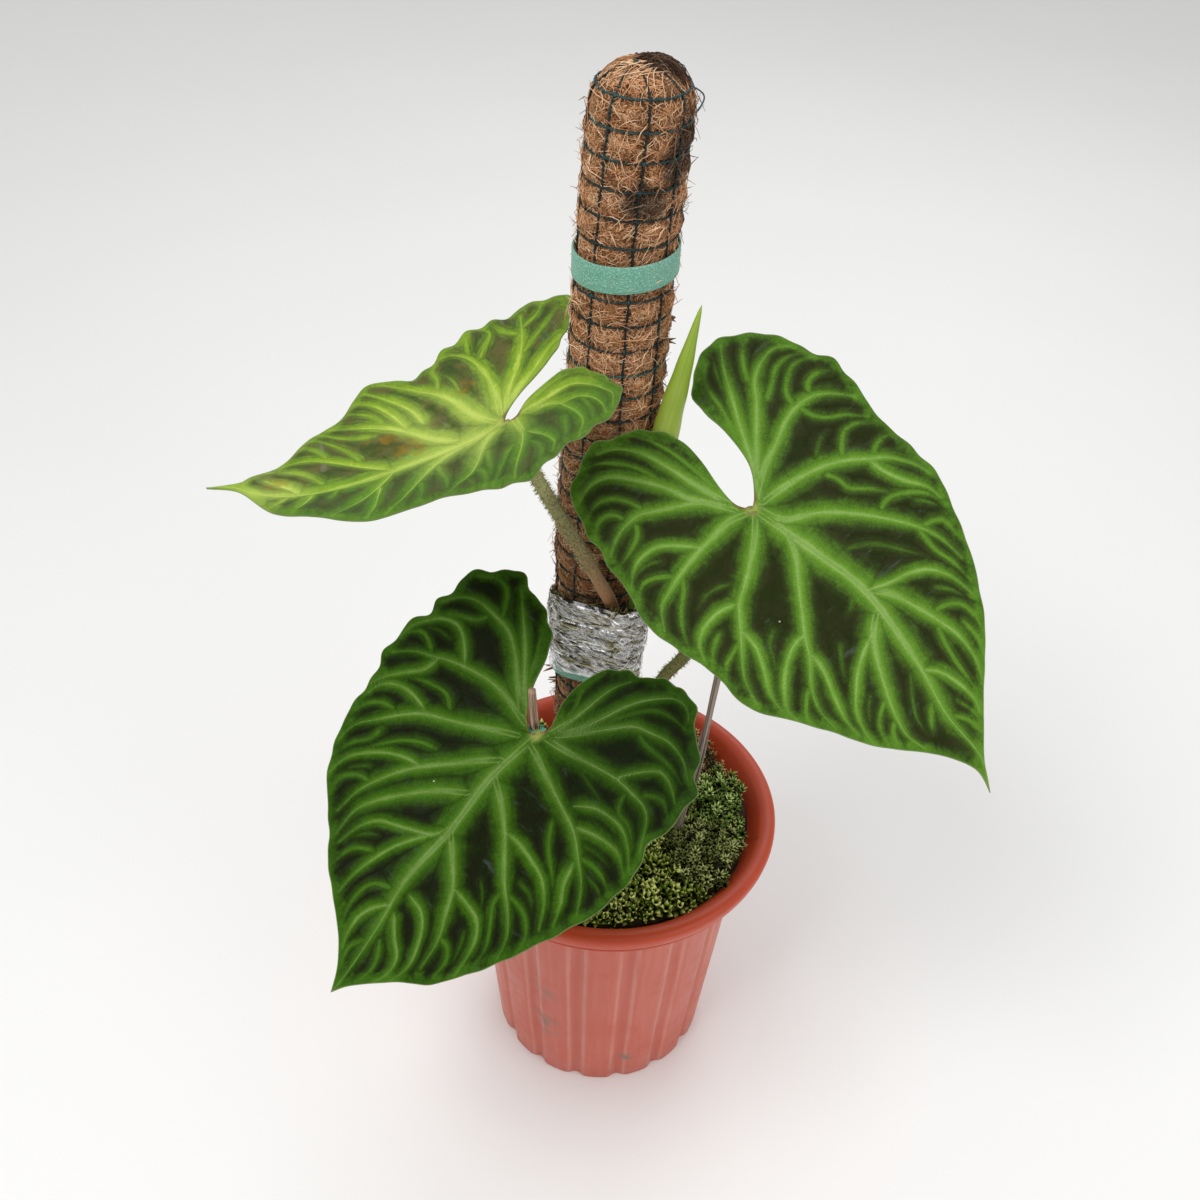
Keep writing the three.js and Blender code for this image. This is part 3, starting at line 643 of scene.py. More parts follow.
@dataclass(frozen=True)
class PotFinish(Finish):
    """Moulded terracotta-coloured plastic, saturated on the lip and faded on the body, with painted shade in
    the flute grooves and painted highlights on their edges.
    """

    name: str = "pot_plastic"
    lip: str = "bc4526"
    body: str = "c2604d"
    pale: str = "cf7b69"
    grime: str = "7d7367"

    def paint(self, b: Board, at: Signal) -> Material:
        """Lays the shader nodes."""
        x, y, z = b.axes(at)
        cloud = b.noise(at, 0.03, 3.0)
        streak = b.noise(b.stretch(at, (0.5, 0.5, 0.01)), 0.7, 2.0)
        turn = b.node("ShaderNodeMath", {"operation": "ARCTAN2"}, {0: y, 1: x}) * (16 / TURN) + 4.0
        panel = abs(b.node("ShaderNodeMath", {"operation": "FRACT"}, {0: turn}) - 0.5)
        body = b.mix(streak.rise(0.4, 0.7) * 0.25, self.body, self.pale)
        # Painted highlight: pale lines along each groove's edges, where the flute walls would catch the
        # light.
        groove_edge_highlight = panel.rise(0.1, 0.16) * panel.fall(0.17, 0.24) * streak.rise(0.3, 0.6, 0.35, 1.0)
        body = b.mix(groove_edge_highlight * 0.45, body, "d39a8b")
        # Painted shade: the middle of each groove is darkened, as the recess would be in shade.
        body = b.mix(panel.fall(0.02, 0.12, 0.2), body, "b25240")
        body = b.mix(cloud.rise(0.45, 0.75) * 0.35, body, "bd5a42")
        smudge = b.noise(at, 0.12, 4.0, 0.65)
        marks = b.spot(at, (-31.2, -58.0, 80.0), 2.0, 12.0).most(b.spot(at, (-28.0, -55.0, 47.0), 2.0, 14.0))
        marks = marks.most(b.spot(at, (15.5, -58.0, 21.0), 1.0, 8.0))
        body = b.mix(marks * smudge.rise(0.42, 0.62) * 0.8, body, self.grime)
        lip = b.mix(cloud.rise(0.4, 0.7) * 0.4, self.lip, "c4563c")
        colour = b.mix(z.rise(150.6, 151.6), body, lip)
        chip = b.spot(at, (-19.1, -82.8, 152.4), 0.5, 1.3)
        colour = b.mix(chip, colour, "eadfd6")
        scratch = b.spot(b.stretch(at, (1.0, 4.0, 1.0)), (73.0, -68.0, 164.0), 1.5, 4.5)
        colour = b.mix(scratch * 0.7, colour, "5e2c22")
        dust = b.noise(at, 0.9, 3.0, 0.7).rise(0.62, 0.75) * z.rise(150.0, 156.0, 0.05, 0.22)
        colour = b.mix(dust, colour, "d9a48e")
        rough = cloud.rise(0.3, 0.8, 0.34, 0.46) + smudge.rise(0.45, 0.7, 0.0, 0.08)
        grain = b.noise(at, 1.6, 3.0) * 0.5 + b.noise(b.stretch(at, (1.0, 1.0, 0.05)), 0.5, 2.0)
        return b.skin(colour, rough, grain, 0.12, 0.5, shine=0.35)


@dataclass(frozen=True)
class LeafColours:
    """Colours of one velvety blade, and round patches in its plane as middle and radius."""

    tones: tuple[str, ...]
    line: str
    rim: str
    under: str
    brown: str = "33301a"
    lower: float = 0.0
    crisp: float = 0.3
    patch: float = 0.35
    sheen: str = "5d6f62"
    spots: Path = ()
    glows: Path = ()
    shades: Path = ()


@dataclass(frozen=True)
class BladeFinish:
    """Velvety blade with dark cells between blurred bright veins."""

    name: str
    colours: LeafColours

    def dress(self) -> Material:
        """Makes the upper face's material."""
        c = self.colours
        b = Board(self.name)
        flat = b.vector("plane")
        reach, force, run, rim = (b.value(k) for k in ("reach", "force", "run", "rim"))
        line = abs(b.value("line"))
        feather = b.noise(b.point(run * 0.8, reach * 0.35, 0.0), 1.0, 4.0, 0.66)
        fine = b.noise(flat, 1.7, 3.0, 0.65)
        cloud = b.noise(flat, 0.05, 3.0, 0.55)
        wander = b.noise(flat, 0.2, 2.0)
        grain = b.noise(flat, 0.5, 5.0, 0.75)
        stripe = b.noise(b.point(run * 0.12, reach * 1.5, 0.0), 1.0, 3.0, 0.6)
        loose = (feather - 0.5) * reach.rise(0.3, 1.6, 0.25, 1.0)
        near = reach * (0.68 + wander * 0.76) + loose * 1.2 + (fine - 0.5) * 0.6 + (grain - 0.5) * 1.6
        border = (rim + (wander - 0.5) * 6.0 + loose * 4.0 + (grain - 0.5) * 5.0).fall(0.3, 6.0, 0.5)
        halo = (near.fall(0.0, 1.1, 0.36) + near.fall(0.1, 4.2, 0.6)) * force
        glow = halo + border * (1 - halo) * 0.8
        mesh = b.cells(flat, 0.75, "DISTANCE_TO_EDGE").fall(0.02, 0.14)
        level = glow + (fine - 0.5) * 0.22 + (grain - 0.5) * 0.5 + (stripe - 0.5) * c.crisp
        level = level + (cloud - 0.5) * 0.26 + mesh * glow.rise(0.1, 0.4) * 0.07
        colour = b.ramp(level, dict(zip((0.04, 0.2, 0.38, 0.56, 0.82, 1.0), c.tones)))
        warm = b.noise(flat, 0.09, 2.0).rise(0.42, 0.62) * glow.fall(0.1, 0.4)
        colour = b.mix(warm * c.patch, colour, c.brown)
        colour = b.mix(border * 0.4, colour, c.rim)
        # Painted reflection: pale bluish-grey sheen streaks in the dark cells, where light would glance off
        # them.
        sheen = b.noise(b.stretch(flat, (1.0, 0.3, 1.0), (0.0, 0.0, 50.0)), 0.17, 5.0, 0.62, 0.4)
        sheen = sheen.rise(0.57, 0.7) * glow.rise(0.05, 0.4, 0.4, 0.1) * cloud.rise(0.45, 0.6)
        colour = b.mix(sheen, colour, c.sheen)
        across = b.axes(flat)[1]
        colour = b.mix(across.fall(-22.0, 10.0, c.lower) * grain.rise(0.3, 0.6, 0.6, 1.0), colour,
                       b.mix(glow, c.tones[0], "3f8226"))
        for u, v, size in c.glows:
            colour = b.mix(b.spot(flat, (u, v, 0.0), size * 0.1, size) * glow * 0.8, colour, c.line)
        for u, v, size in c.shades:
            colour = b.mix(b.spot(flat, (u, v, 0.0), size * 0.4, size) * 0.36, colour, "0a1604")
        for u, v, size in c.spots:
            blot = b.spot(flat, (u, v, 0.0), size * 0.2, size) * b.noise(flat, 0.16, 3.0).rise(0.42, 0.6)
            colour = b.mix(blot * 0.6, colour, "94701c")
        fade = b.value("fade")
        wide = fade.rise(0.55, 0.85)
        thread = (line.fall(0.1, 0.42) * (1 - wide) * fade.rise(0.0, 0.3, 0.3, 1.0)).most(
            abs(line - 0.95).fall(0.1, 0.55) * wide) * reach.fall(0.7, 1.1)
        # Painted shade: a darker line down the middle of wide veins, where the sunk groove would lie in
        # shade.
        colour = b.mix(line.fall(0.15, 0.5, 0.2) * wide, colour, c.tones[2])
        colour = b.mix(thread * grain.rise(0.3, 0.65, 0.15, 0.6), colour, c.line)
        colour = b.mix(rim.fall(0.15, 0.5, 0.5), colour, "8d9a66")
        notch = b.spot(flat, (-3.0, 0.0, 0.0), 1.5, 9.0) * rim.fall(0.5, 1.6)
        colour = b.mix(notch, colour, "7a4a34")
        colour = b.mix(b.spot(flat, (0.0, 0.0, 0.0), 0.8, 5.0) * 0.6, colour, "a8b45c")
        colour = b.mix(b.cells(flat, 0.045).fall(0.018, 0.03, 0.6), colour, "d9d9bd")
        dull = b.noise(b.stretch(flat, (1.0, 0.4, 1.0), (0.0, 0.0, 35.0)), 0.12, 3.0, 0.6)
        rough = glow.rise(0.1, 0.9, 0.42, 0.52) + (fine - 0.5) * 0.1 + dull.rise(0.4, 0.6, 0.0, 0.12)
        relief = fine * 0.4 + grain * 1.2 + stripe * 0.8 + feather * glow * 0.5 - thread * 0.6
        relief = relief + b.noise(flat, 0.4, 2.0) * 0.9
        return b.skin(colour, rough, relief, 0.3, 0.8, shine=0.08)

    def dress_under(self) -> Material:
        """Makes the underside's material."""
        c = self.colours
        b = Board(self.name + "_under")
        flat = b.vector("plane")
        reach = b.value("reach")
        glow = reach.fall(0.15, 2.6) * b.value("force")
        cloud = b.noise(flat, 0.06, 3.0)
        fine = b.noise(flat, 1.2, 2.0)
        level = glow + (cloud - 0.5) * 0.3
        colour = b.ramp(level, {0.1: c.under, 0.7: "6f8a44", 1.0: "8fa35e"})
        thread = abs(b.value("line")).fall(0.4, 1.3)
        colour = b.mix(thread * 0.8, colour, "a3b372")
        return b.skin(colour, 0.55, thread * 1.0 + fine * 0.2 + cloud * 0.5, 0.4, 0.8, shine=0.25)


@dataclass(frozen=True)
class StalkFinish(Finish):
    """Leaf stalk that turns from one colour to another as it rises, with paler bristles."""

    low: str
    high: str
    bristle: str

    def paint(self, b: Board, at: Signal) -> Material:
        """Lays the shader nodes."""
        rise, hair = b.value("rise"), b.value("hair")
        fleck = b.noise(b.stretch(at, (1.0, 1.0, 0.35)), 1.1, 3.0, 0.6)
        colour = b.mix(rise.rise(0.1, 0.75), self.low, self.high)
        colour = b.mix(fleck.rise(0.5, 0.68) * 0.55, colour, "5c4a2a")
        colour = b.mix(hair * 0.85, colour, self.bristle)
        return b.skin(colour, 0.5, fleck, 0.15, 0.6, shine=0.4)


@dataclass(frozen=True)
class SpearFinish(Finish):
    """Rolled new leaf: fresh yellow-green with a purplish flush low down."""

    name: str = "new_leaf_skin"

    def paint(self, b: Board, at: Signal) -> Material:
        """Lays the shader nodes."""
        rise, turn = b.value("rise"), b.value("turn")
        vein = b.noise(b.point(turn * 9.0, rise * 5.0, 0.0), 1.0, 3.0, 0.6)
        fleck = b.noise(b.stretch(at, (1.0, 1.0, 0.3)), 1.3, 3.0, 0.65)
        colour = b.ramp(rise, {0.0: "5c7a18", 0.25: "72882c", 0.5: "98a63e",
                               0.85: "8aa62c", 1.0: "94b03a"})
        colour = b.mix(vein.rise(0.4, 0.7) * 0.4, colour, "a9b860")
        blush = rise.fall(0.3, 0.62) * rise.rise(0.05, 0.2) * fleck.rise(0.5, 0.66)
        colour = b.mix(blush * 0.75, colour, "5f4a34")
        rough = 0.42 + (vein - 0.5) * 0.1
        return b.skin(colour, rough, vein * 0.7 + fleck * 0.3, 0.3, 0.7, shine=0.45)


@dataclass(frozen=True)
class CoirFinish(Finish):
    """Coconut fibre: every strand has its own tone, with charred-looking patches."""

    deep: str
    middle: str
    light: str
    matted: bool = False

    def paint(self, b: Board, at: Signal) -> Material:
        """Lays the shader nodes."""
        tone, stain = b.value("tone"), b.value("stain")
        wire = b.noise(b.stretch(at, (1.0, 1.0, 1.4)), 0.9, 4.0, 0.7, 1.2)
        mottle = b.noise(at, 0.06, 3.0)
        level = tone + (wire - 0.5) * 0.5 + (mottle - 0.5) * 0.3
        if self.matted:
            mesh = b.noise(b.stretch(at, (1.0, 1.0, 0.6), (20.0, 0.0, 40.0)), 0.3, 2.0, 0.5, 1.8)
            other = b.noise(b.stretch(at, (0.7, 1.0, 1.3), (0.0, 35.0, 10.0)), 0.34, 2.0, 0.5, 1.5)
            gap = b.noise(b.stretch(at, (1.0, 0.8, 1.1), (40.0, 15.0, 0.0)), 0.42, 2.0, 0.6, 1.2)
            hair = abs(mesh - 0.5).fall(0.01, 0.05).most(abs(other - 0.5).fall(0.01, 0.05))
            # Painted shade: thin dark lines stand for the shadowed gaps between the hairs.
            level = level + hair * 0.7 - abs(gap - 0.5).fall(0.0, 0.05, 0.45)
            wire = wire + hair * 1.5
        colour = b.ramp(level, {0.0: self.deep, 0.45: self.middle, 0.95: self.light})
        dark = b.ramp(level, {0.0: "130d0a", 0.5: "3c2c22", 1.0: "85705f"})
        colour = b.mix(stain * wire.rise(0.2, 0.9, 1.0, 0.75), colour, dark)
        rough = 0.72 + (wire - 0.5) * 0.2
        return b.skin(colour, rough, wire, 0.5, 0.9, shine=0.25)


@dataclass(frozen=True)
class CordFinish(Finish):
    """Twisted net cord, teal where it catches the light and nearly black in the dips."""

    name: str = "net_cord"

    def paint(self, b: Board, at: Signal) -> Material:
        """Lays the shader nodes."""
        tone = b.value("tone")
        wear = b.noise(at, 0.25, 3.0)
        fibre = b.noise(at, 3.0, 2.0)
        level = tone * 0.6 + wear * 0.5
        colour = b.ramp(level, {0.2: "060b0b", 0.5: "0e2222", 0.8: "1d4b4a",
                                1.0: "4c8a8a"})
        return b.skin(colour, 0.5, fibre, 0.1, 0.6, shine=0.4)


@dataclass(frozen=True)
class StrapFinish(Finish):
    """Mint hook-and-loop tape: a short looped pile in close rows."""

    name: str = "strap_weave"

    def paint(self, b: Board, at: Signal) -> Material:
        """Lays the shader nodes."""
        loops = b.cells(at, 1.15).fall(0.05, 0.6)
        fuzz = b.noise(at, 3.2, 3.0, 0.7)
        cloud = b.noise(at, 0.08, 2.0)
        colour = b.mix(loops * 0.7 + fuzz * 0.2, "5f9b86", "b4e2ce")
        colour = b.mix(cloud.rise(0.4, 0.7) * 0.25, colour, "86bfae")
        return b.skin(colour, 0.8, loops + fuzz * 0.5, 0.35, 0.8, shine=0.2, Sheen_Weight=0.3,
                      Sheen_Roughness=0.5, Sheen_Tint="d2f0e6")


@dataclass(frozen=True)
class MossFinish(Finish):
    """Moss leaflets that pale towards their tips."""

    root: str
    leaf: str
    tip: str

    def paint(self, b: Board, at: Signal) -> Material:
        """Lays the shader nodes."""
        tone, tip = b.value("tone"), b.value("tip")
        drift = b.noise(at, 0.09, 3.0)
        level = tip * 0.9 + (tone - 0.5) * 0.6 + (drift - 0.5) * 0.4
        colour = b.ramp(level, {0.22: self.root, 0.55: self.leaf, 0.86: self.tip})
        return b.skin(colour, 0.55, b.noise(at, 2.5, 2.0), 0.1, 0.5, shine=0.15)


@dataclass(frozen=True)
class GroundFinish(Finish):
    """Damp potting mix and dead moss between the cushions."""

    name: str = "potting_mix"

    def paint(self, b: Board, at: Signal) -> Material:
        """Lays the shader nodes."""
        crumb = b.cells(at, 0.45)
        grit = b.noise(at, 0.9, 4.0, 0.7)
        drift = b.noise(at, 0.05, 2.0)
        colour = b.ramp(grit * 0.8 + crumb * 0.25, {0.2: "0f0b07", 0.5: "2c2114",
                                                    0.7: "4a3a22", 0.95: "7a6638"})
        colour = b.mix(drift.rise(0.45, 0.65) * 0.4, colour, "2f3a14")
        return b.skin(colour, 0.85, grit + crumb, 1.4, 0.9, shine=0.25)


@dataclass(frozen=True)
class FibreFinish(Finish):
    """Straw-like packed moss under the film."""

    name: str = "dry_moss"

    def paint(self, b: Board, at: Signal) -> Material:
        """Lays the shader nodes."""
        tone = b.value("tone")
        wire = b.noise(b.stretch(at, (1.0, 1.0, 3.0)), 0.5, 4.0, 0.7)
        level = tone * 0.8 + (wire - 0.5) * 0.6
        colour = b.ramp(level, {0.12: "1c140a", 0.36: "766838", 0.6: "cabc88",
                                0.85: "fffbe6"})
        return b.skin(colour, 0.75, wire, 0.5, 0.9, shine=0.25)


@dataclass(frozen=True)
class FilmFinish(Finish):
    """Clear stretch film with sharp creases that turn milky where it is doubled; its glints and the glow of
    its haze are painted highlights.
    """

    name: str = "clear_film"

    def paint(self, b: Board, at: Signal) -> Material:
        """Lays the shader nodes."""
        crease = b.value("crease")
        at_height = b.axes(at)[2]
        veil = b.noise(b.stretch(at, (1.0, 1.0, 2.4), (22.0, 0.0, 0.0)), 0.16, 4.0, 0.62, 0.8)
        fine = b.noise(b.stretch(at, (1.0, 1.0, 2.0), (30.0, 12.0, 0.0)), 0.5, 4.0, 0.6, 1.4)
        ridge = abs(fine - 0.5).fall(0.0, 0.04) * veil.rise(0.4, 0.6)
        low = at_height.fall(236.0, 256.0, 0.3)
        broken = b.noise(b.stretch(at, (1.0, 1.0, 0.8)), 0.45, 3.0, 0.6).rise(0.42, 0.56)
        # Painted highlights: glints along the creases.
        glint = (crease.rise(0.35, 0.8) * broken).most(ridge * 0.5)
        glint = (glint * (veil.rise(0.35, 0.6, 0.35, 0.9) + low)).least(1.0)
        haze = veil.rise(0.38, 0.58) * (0.26 + low * 1.4)
        alpha = (haze + low * 0.4 + glint * 0.9).least(0.95)
        # Painted light: glints and milky haze also glow through emission, brighter than the lamps would make
        # them; the milkiness through alpha is the film's own.
        shine = b.mix(glint, b.mix(haze, "000000", "8e8a86"), "c8c8cc")
        return b.skin("fbfbff", 0.2, fine * 0.9 + veil * 0.6, 1.2, 1.0, Alpha=alpha, Metallic=glint * 0.2,
                      Emission_Color=shine, Emission_Strength=1.0, shine=0.8)


@dataclass(frozen=True)
class CaneFinish(Finish):
    """Weathered cane with lengthwise splits."""

    dark: str
    light: str

    def paint(self, b: Board, at: Signal) -> Material:
        """Lays the shader nodes."""
        run, turn = b.value("rise"), b.value("turn")
        split = b.noise(b.point(turn * 5.0, run * 3.0, 0.0), 1.0, 3.0, 0.6)
        grain = b.noise(b.stretch(at, (1.0, 1.0, 0.12)), 2.2, 3.0)
        colour = b.mix(split.rise(0.35, 0.62), self.dark, self.light)
        colour = b.mix(grain.rise(0.55, 0.75) * 0.4, colour, "4a3a30")
        return b.skin(colour, 0.6, split + grain * 0.4, 0.35, 0.8, shine=0.35)


# The pole with its fibres, its net and what is wrapped and strapped round it.

@dataclass(frozen=True)
class Stain:
    """A dark patch on the pole: its direction, height and half sizes."""

    degrees: float
    height: float
    wide: float
    tall: float


@dataclass(frozen=True)
class Sheaf:
    """A combed bunch of fibres on the pole's crown: its place, direction, length, lift, number and looks."""

    x: float
    y: float
    heading: float
    spread: float
    reach: float
    lift: float
    count: int
    tone: float
    stain: float


@dataclass
class Pole:
    """Coir pole: pillows of fibre that swell out of a net of cords."""

    foot: float = 150.0
    groove: float = 18.7
    bulge: float = 21.2
    shoulder: float = 508.0
    top: float = 523.5
    roundness: float = 0.45
    rim: float = 18.9
    overhang: float = 18.6
    within: float = 18.4
    strands: int = 8
    first_turn: float = 9.0
    wander: float = 3.0
    top_ring: float = 517.4
    pitch: float = 11.35
    ease: float = 0.028
    rings: int = 34
    covered: tuple[int, ...] = (6, 23, 24, 25, 26)
    stains: tuple[Stain, ...] = (
        Stain(140.0, 521.0, 80.0, 9.0), Stain(48.0, 494.0, 26.0, 15.0), Stain(14.0, 480.0, 34.0, 9.0),
        Stain(74.0, 500.0, 26.0, 18.0), Stain(92.0, 405.0, 24.0, 24.0), Stain(84.0, 470.0, 18.0, 9.0),
        Stain(-150.0, 470.0, 40.0, 12.0), Stain(170.0, 360.0, 35.0, 20.0), Stain(-120.0, 250.0, 30.0, 18.0))
    sheaves: tuple[Sheaf, ...] = (
        Sheaf(1.0, 2.0, 12.0, 30.0, 15.0, 3.0, 260, 0.35, 1.0),
        Sheaf(4.0, 4.0, 70.0, 30.0, 13.0, 2.4, 170, 0.35, 0.9),
        Sheaf(0.0, -2.0, 190.0, 12.0, 18.0, 2.2, 14, 0.75, 0.0),
        Sheaf(4.0, -2.0, 222.0, 8.0, 18.0, 2.4, 8, 0.85, 0.0),
        Sheaf(-2.0, 4.0, 150.0, 30.0, 14.0, 1.8, 60, 0.5, 0.3),
        Sheaf(10.0, -9.0, 300.0, 40.0, 9.0, 1.0, 40, 0.4, 0.7))
    stubs: Path = ((424.0, 88.0, 3.5), (413.0, 92.0, 4.5), (231.0, -88.0, 6.5), (224.0, -80.0, 5.0))

    def axis(self, z: Points) -> Points:
        """Centre of the pole at some heights."""
        rise = np.maximum(0.0, z - 165.0)
        x = -9.2 - 1.9 * np.exp(-(((z - 300.0) / 70.0) ** 2)) + 1.6e-7 * rise ** 3
        return np.stack([x, 30.6 + 1.22e-4 * rise * rise, z], axis=-1)

    def dome(self, z: Points) -> Points:
        """Share of the radius that is left at a height near the top."""
        t = np.maximum(0.0, (z - self.shoulder) / (self.top + 0.1 - self.shoulder))
        return np.maximum(0.0, 1 - t ** 3) ** self.roundness

    def level(self, share: Points) -> Points:
        """Height on the rounded top where that share of the radius is left."""
        return self.shoulder + (self.top - self.shoulder) * np.cbrt(1 - share ** (1 / self.roundness))

    def over(self, out: Points) -> Points:
        """Height of the rounded top at some distances from the pole's axis."""
        return self.level(np.clip(out / self.rim, 0.0, 0.985))

    def crown(self) -> Points:
        """Middle of the pole's top."""
        return self.axis(np.array(self.top))

    def outward(self, lines: Points) -> Points:
        """Directions in which points lie from the pole's axis."""
        return unit(lines - self.axis(lines[..., 2]) + [0.0, 0.0, 1e-3])

    def ring_height(self, k: Points) -> Points:
        """Height of a ring of the net, counted down from the top."""
        return self.top_ring - self.pitch * k + self.ease * k * k

    def turn(self, z: Points) -> Points:
        """Direction of the first upright strand, in degrees."""
        return self.first_turn + self.wander * np.sin(z / 41.0)

    def spot(self, z: Points, radius: Points, degrees: Points) -> Points:
        """Points around the pole, with the direction counted from the front towards +X."""
        z = np.asarray(z, float)
        angle = np.radians(np.asarray(degrees) - 90.0)
        out = np.stack([np.cos(angle), np.sin(angle), np.zeros_like(angle)], axis=-1)
        return self.axis(z) + np.asarray(radius)[..., None] * out

    def swell(self, z: Points, degrees: Points) -> Points:
        """Radius of the fibre surface below the dome."""
        levels = np.arange(self.rings + 3)
        place = np.interp(-z, -self.ring_height(levels), levels)
        across = np.abs(np.sin(np.radians(4.0 * (degrees - self.turn(z))))) ** 0.85
        along = np.abs(np.sin(math.pi * place)) ** 0.8
        strap = smooth(12.0, 8.0, np.abs(z - 449.2))
        wrap = smooth(212.0, 220.0, z) * smooth(302.0, 292.0, z)
        press = 1 - np.maximum(strap, wrap) * 0.6
        lumps = 0.35 * np.sin(z * 0.9 + degrees * 0.11) * np.sin(degrees * 0.19 - z * 0.31)
        return self.groove + 0.15 + (self.bulge - self.groove) * across * along * press + lumps * 0.6

    def darkness(self, z: Points, degrees: Points) -> Points:
        """How charred the fibre looks, from 0 to 1."""
        mark = np.zeros(np.broadcast(z, degrees).shape)
        for s in self.stains:
            turn = (degrees - s.degrees + 180.0) % 360.0 - 180.0
            mark = np.maximum(mark, np.exp(-((turn / s.wide) ** 2 + ((z - s.height) / s.tall) ** 2) * 1.1))
        return smooth(0.3, 0.75, mark)

    def charred(self, lines: Points, out: Points) -> Points:
        """How charred strands look at their points, which lie in some directions from the axis."""
        return self.darkness(lines[:, :, 2], np.degrees(np.arctan2(out[:, :, 1], out[:, :, 0])) + 90.0)

    def core(self, finish: Material) -> Piece:
        """Makes the pillowed surface that the fibres lie on."""
        around = 112
        over_the_top = self.level(np.linspace(0.97, 0.06, 16))
        heights = np.concatenate([np.linspace(self.foot, self.shoulder, 230), over_the_top])
        turn = np.arange(around) * 360.0 / around
        z, degrees = np.meshgrid(heights, turn, indexing="ij")
        swell = self.swell(z, degrees)
        corners = self.spot(z, swell * self.dome(z), degrees).reshape(-1, 3)
        ends = np.stack([self.axis(np.array(self.foot)), self.axis(np.array(self.top - 0.2))])
        stain = np.concatenate([self.darkness(z, degrees).ravel(), [0.0, 0.6]])
        faces = [grid_faces(len(heights), around), *cap_faces(len(heights), around)]
        # Painted shade: the fibre surface darkens where it dips into the net's grooves.
        tone = np.append(0.36 * smooth(float(swell.min()), float(swell.max()), swell.ravel()), [0.2, 0.2])
        stock = Stock()
        stock.add(np.vstack([corners, ends]), faces, tone=tone, stain=stain)
        return stock.piece("coir_core", [finish])

    def fibres(self, name: str, low: float, high: float, finish: Material, seed: int,
               count: int = 5900) -> Piece:
        """Makes the curved fibres over one stretch of the surface, some of them standing off it.

        Args:
            name: the piece's name.
            low: where the stretch starts, above the pole's foot.
            high: where it ends.
            finish: its material.
            seed: start of its random numbers.
            count: how many fibres there are.

        Returns:
            The fibres as one piece.
        """
        draw = np.random.default_rng(seed)
        steps = 4
        z = draw.uniform(self.foot + low, self.foot + high, count)
        degrees = draw.uniform(0.0, 360.0, count)
        heading = draw.normal(0.0, 0.75, count) + np.where(draw.random(count) < 0.5, 0.0, math.pi)
        steep = draw.random(count) < 0.35
        heading = np.where(steep, draw.uniform(0, TURN, count), heading)
        long = draw.random(count) < 0.12
        length = np.where(long, draw.uniform(14.0, 26.0, count), draw.uniform(5.0, 12.0, count))
        bend = draw.normal(0.0, 2.3, count) / length
        wild = draw.random(count) < 0.09
        lift_start = draw.uniform(0.0, 0.45, count)
        lift_end = np.where(wild, draw.uniform(1.5, 4.2, count), draw.uniform(0.0, 0.55, count))
        lines = np.zeros((count, steps, 3))
        step = length / (steps - 1)
        for k in range(steps):
            lift = lift_start + (lift_end - lift_start) * (k / (steps - 1)) ** 2
            radius = (self.swell(np.minimum(z, self.shoulder), degrees) + lift) * self.dome(z)
            lines[:, k] = self.spot(z + lift * (1 - self.dome(z)), radius, degrees)
            degrees = degrees + np.degrees(np.cos(heading) * step / np.maximum(radius, 6.0))
            z = np.clip(z + np.sin(heading) * step, self.foot, self.top - 1.0)
            heading = heading + bend * step
        away = self.outward(lines)
        hue = hues(draw, 0.55, 0.28, count)
        thin = draw.uniform(0.12, 0.24, count)[:, None] * np.array([0.7, 1.0, 1.0, 0.5])
        stock = Stock()
        strands(stock, lines, thin, away, 3, tone=hue, stain=self.charred(lines, away))
        if self.foot + high > self.shoulder:
            self._crown(stock, draw)
            self._sheaves(stock, draw)
        self._stubs(stock, draw, self.foot + low, self.foot + high)
        return stock.piece(name, [finish])

    def _crown(self, stock: Stock, draw: Draw, count: int = 560) -> None:
        """Adds the fibres that cross the rounded top."""
        steps = 5
        reach = 17.5 * np.sqrt(draw.random(count))
        start = draw.uniform(0, TURN, count)
        flat = reach[:, None] * bearing(start)
        heading = draw.uniform(0, TURN, count)
        bend = draw.normal(0.0, 0.09, count)
        length = draw.uniform(6.0, 18.0, count)
        lines = np.zeros((count, steps, 3))
        centre = self.crown()
        for k in range(steps):
            lines[:, k, :2] = centre[:2] + flat
            lines[:, k, 2] = self.over(np.linalg.norm(flat, axis=1)) + draw.uniform(0.1, 0.8, count)
            flat = flat + bearing(heading) * (length / (steps - 1))[:, None]
            flat *= np.minimum(1.0, self.within / np.maximum(np.linalg.norm(flat, axis=1), 1e-6))[:, None]
            heading = heading + bend * length / (steps - 1)
        stain = self.charred(lines, lines - centre)
        hue = hues(draw, 0.5, 0.2, count, 0.05)
        strands(stock, lines, np.full((count, steps), 0.22), UP, 3, tone=hue, stain=stain)

    def _sheaves(self, stock: Stock, draw: Draw) -> None:
        """Adds the combed bunches over the crown: dark ones to the right and back, pale ones to the left."""
        centre = self.crown()
        steps = 6
        for s in self.sheaves:
            start = np.array([s.x, s.y]) + draw.normal(0.0, 2.4, (s.count, 2))
            turn = np.radians(s.heading + draw.normal(0.0, s.spread, s.count))
            bend = draw.normal(0.0, 0.5, s.count)
            length = s.reach * draw.uniform(0.55, 1.15, s.count)
            high = s.lift * draw.uniform(0.2, 1.0, s.count)
            lines = np.zeros((s.count, steps, 3))
            for k, share in enumerate(np.arange(steps) / (steps - 1)):
                flat = start + bearing(turn + bend * share) * (length * share)[:, None]
                out = np.linalg.norm(flat, axis=1)
                hang = np.maximum(0.0, out - self.overhang) * 1.5
                lines[:, k, :2] = centre[:2] + flat
                lines[:, k, 2] = self.over(out) - hang + 0.4 + high * math.sin(math.pi * (0.15 + 0.8 * share))
            hue = hues(draw, s.tone, 0.2, s.count)
            thin = draw.uniform(0.14, 0.26, s.count)[:, None] * np.array([0.7, 1.0, 1.0, 1.0, 0.8, 0.4])
            strands(stock, lines, thin, UP, 3, tone=hue, stain=s.stain)

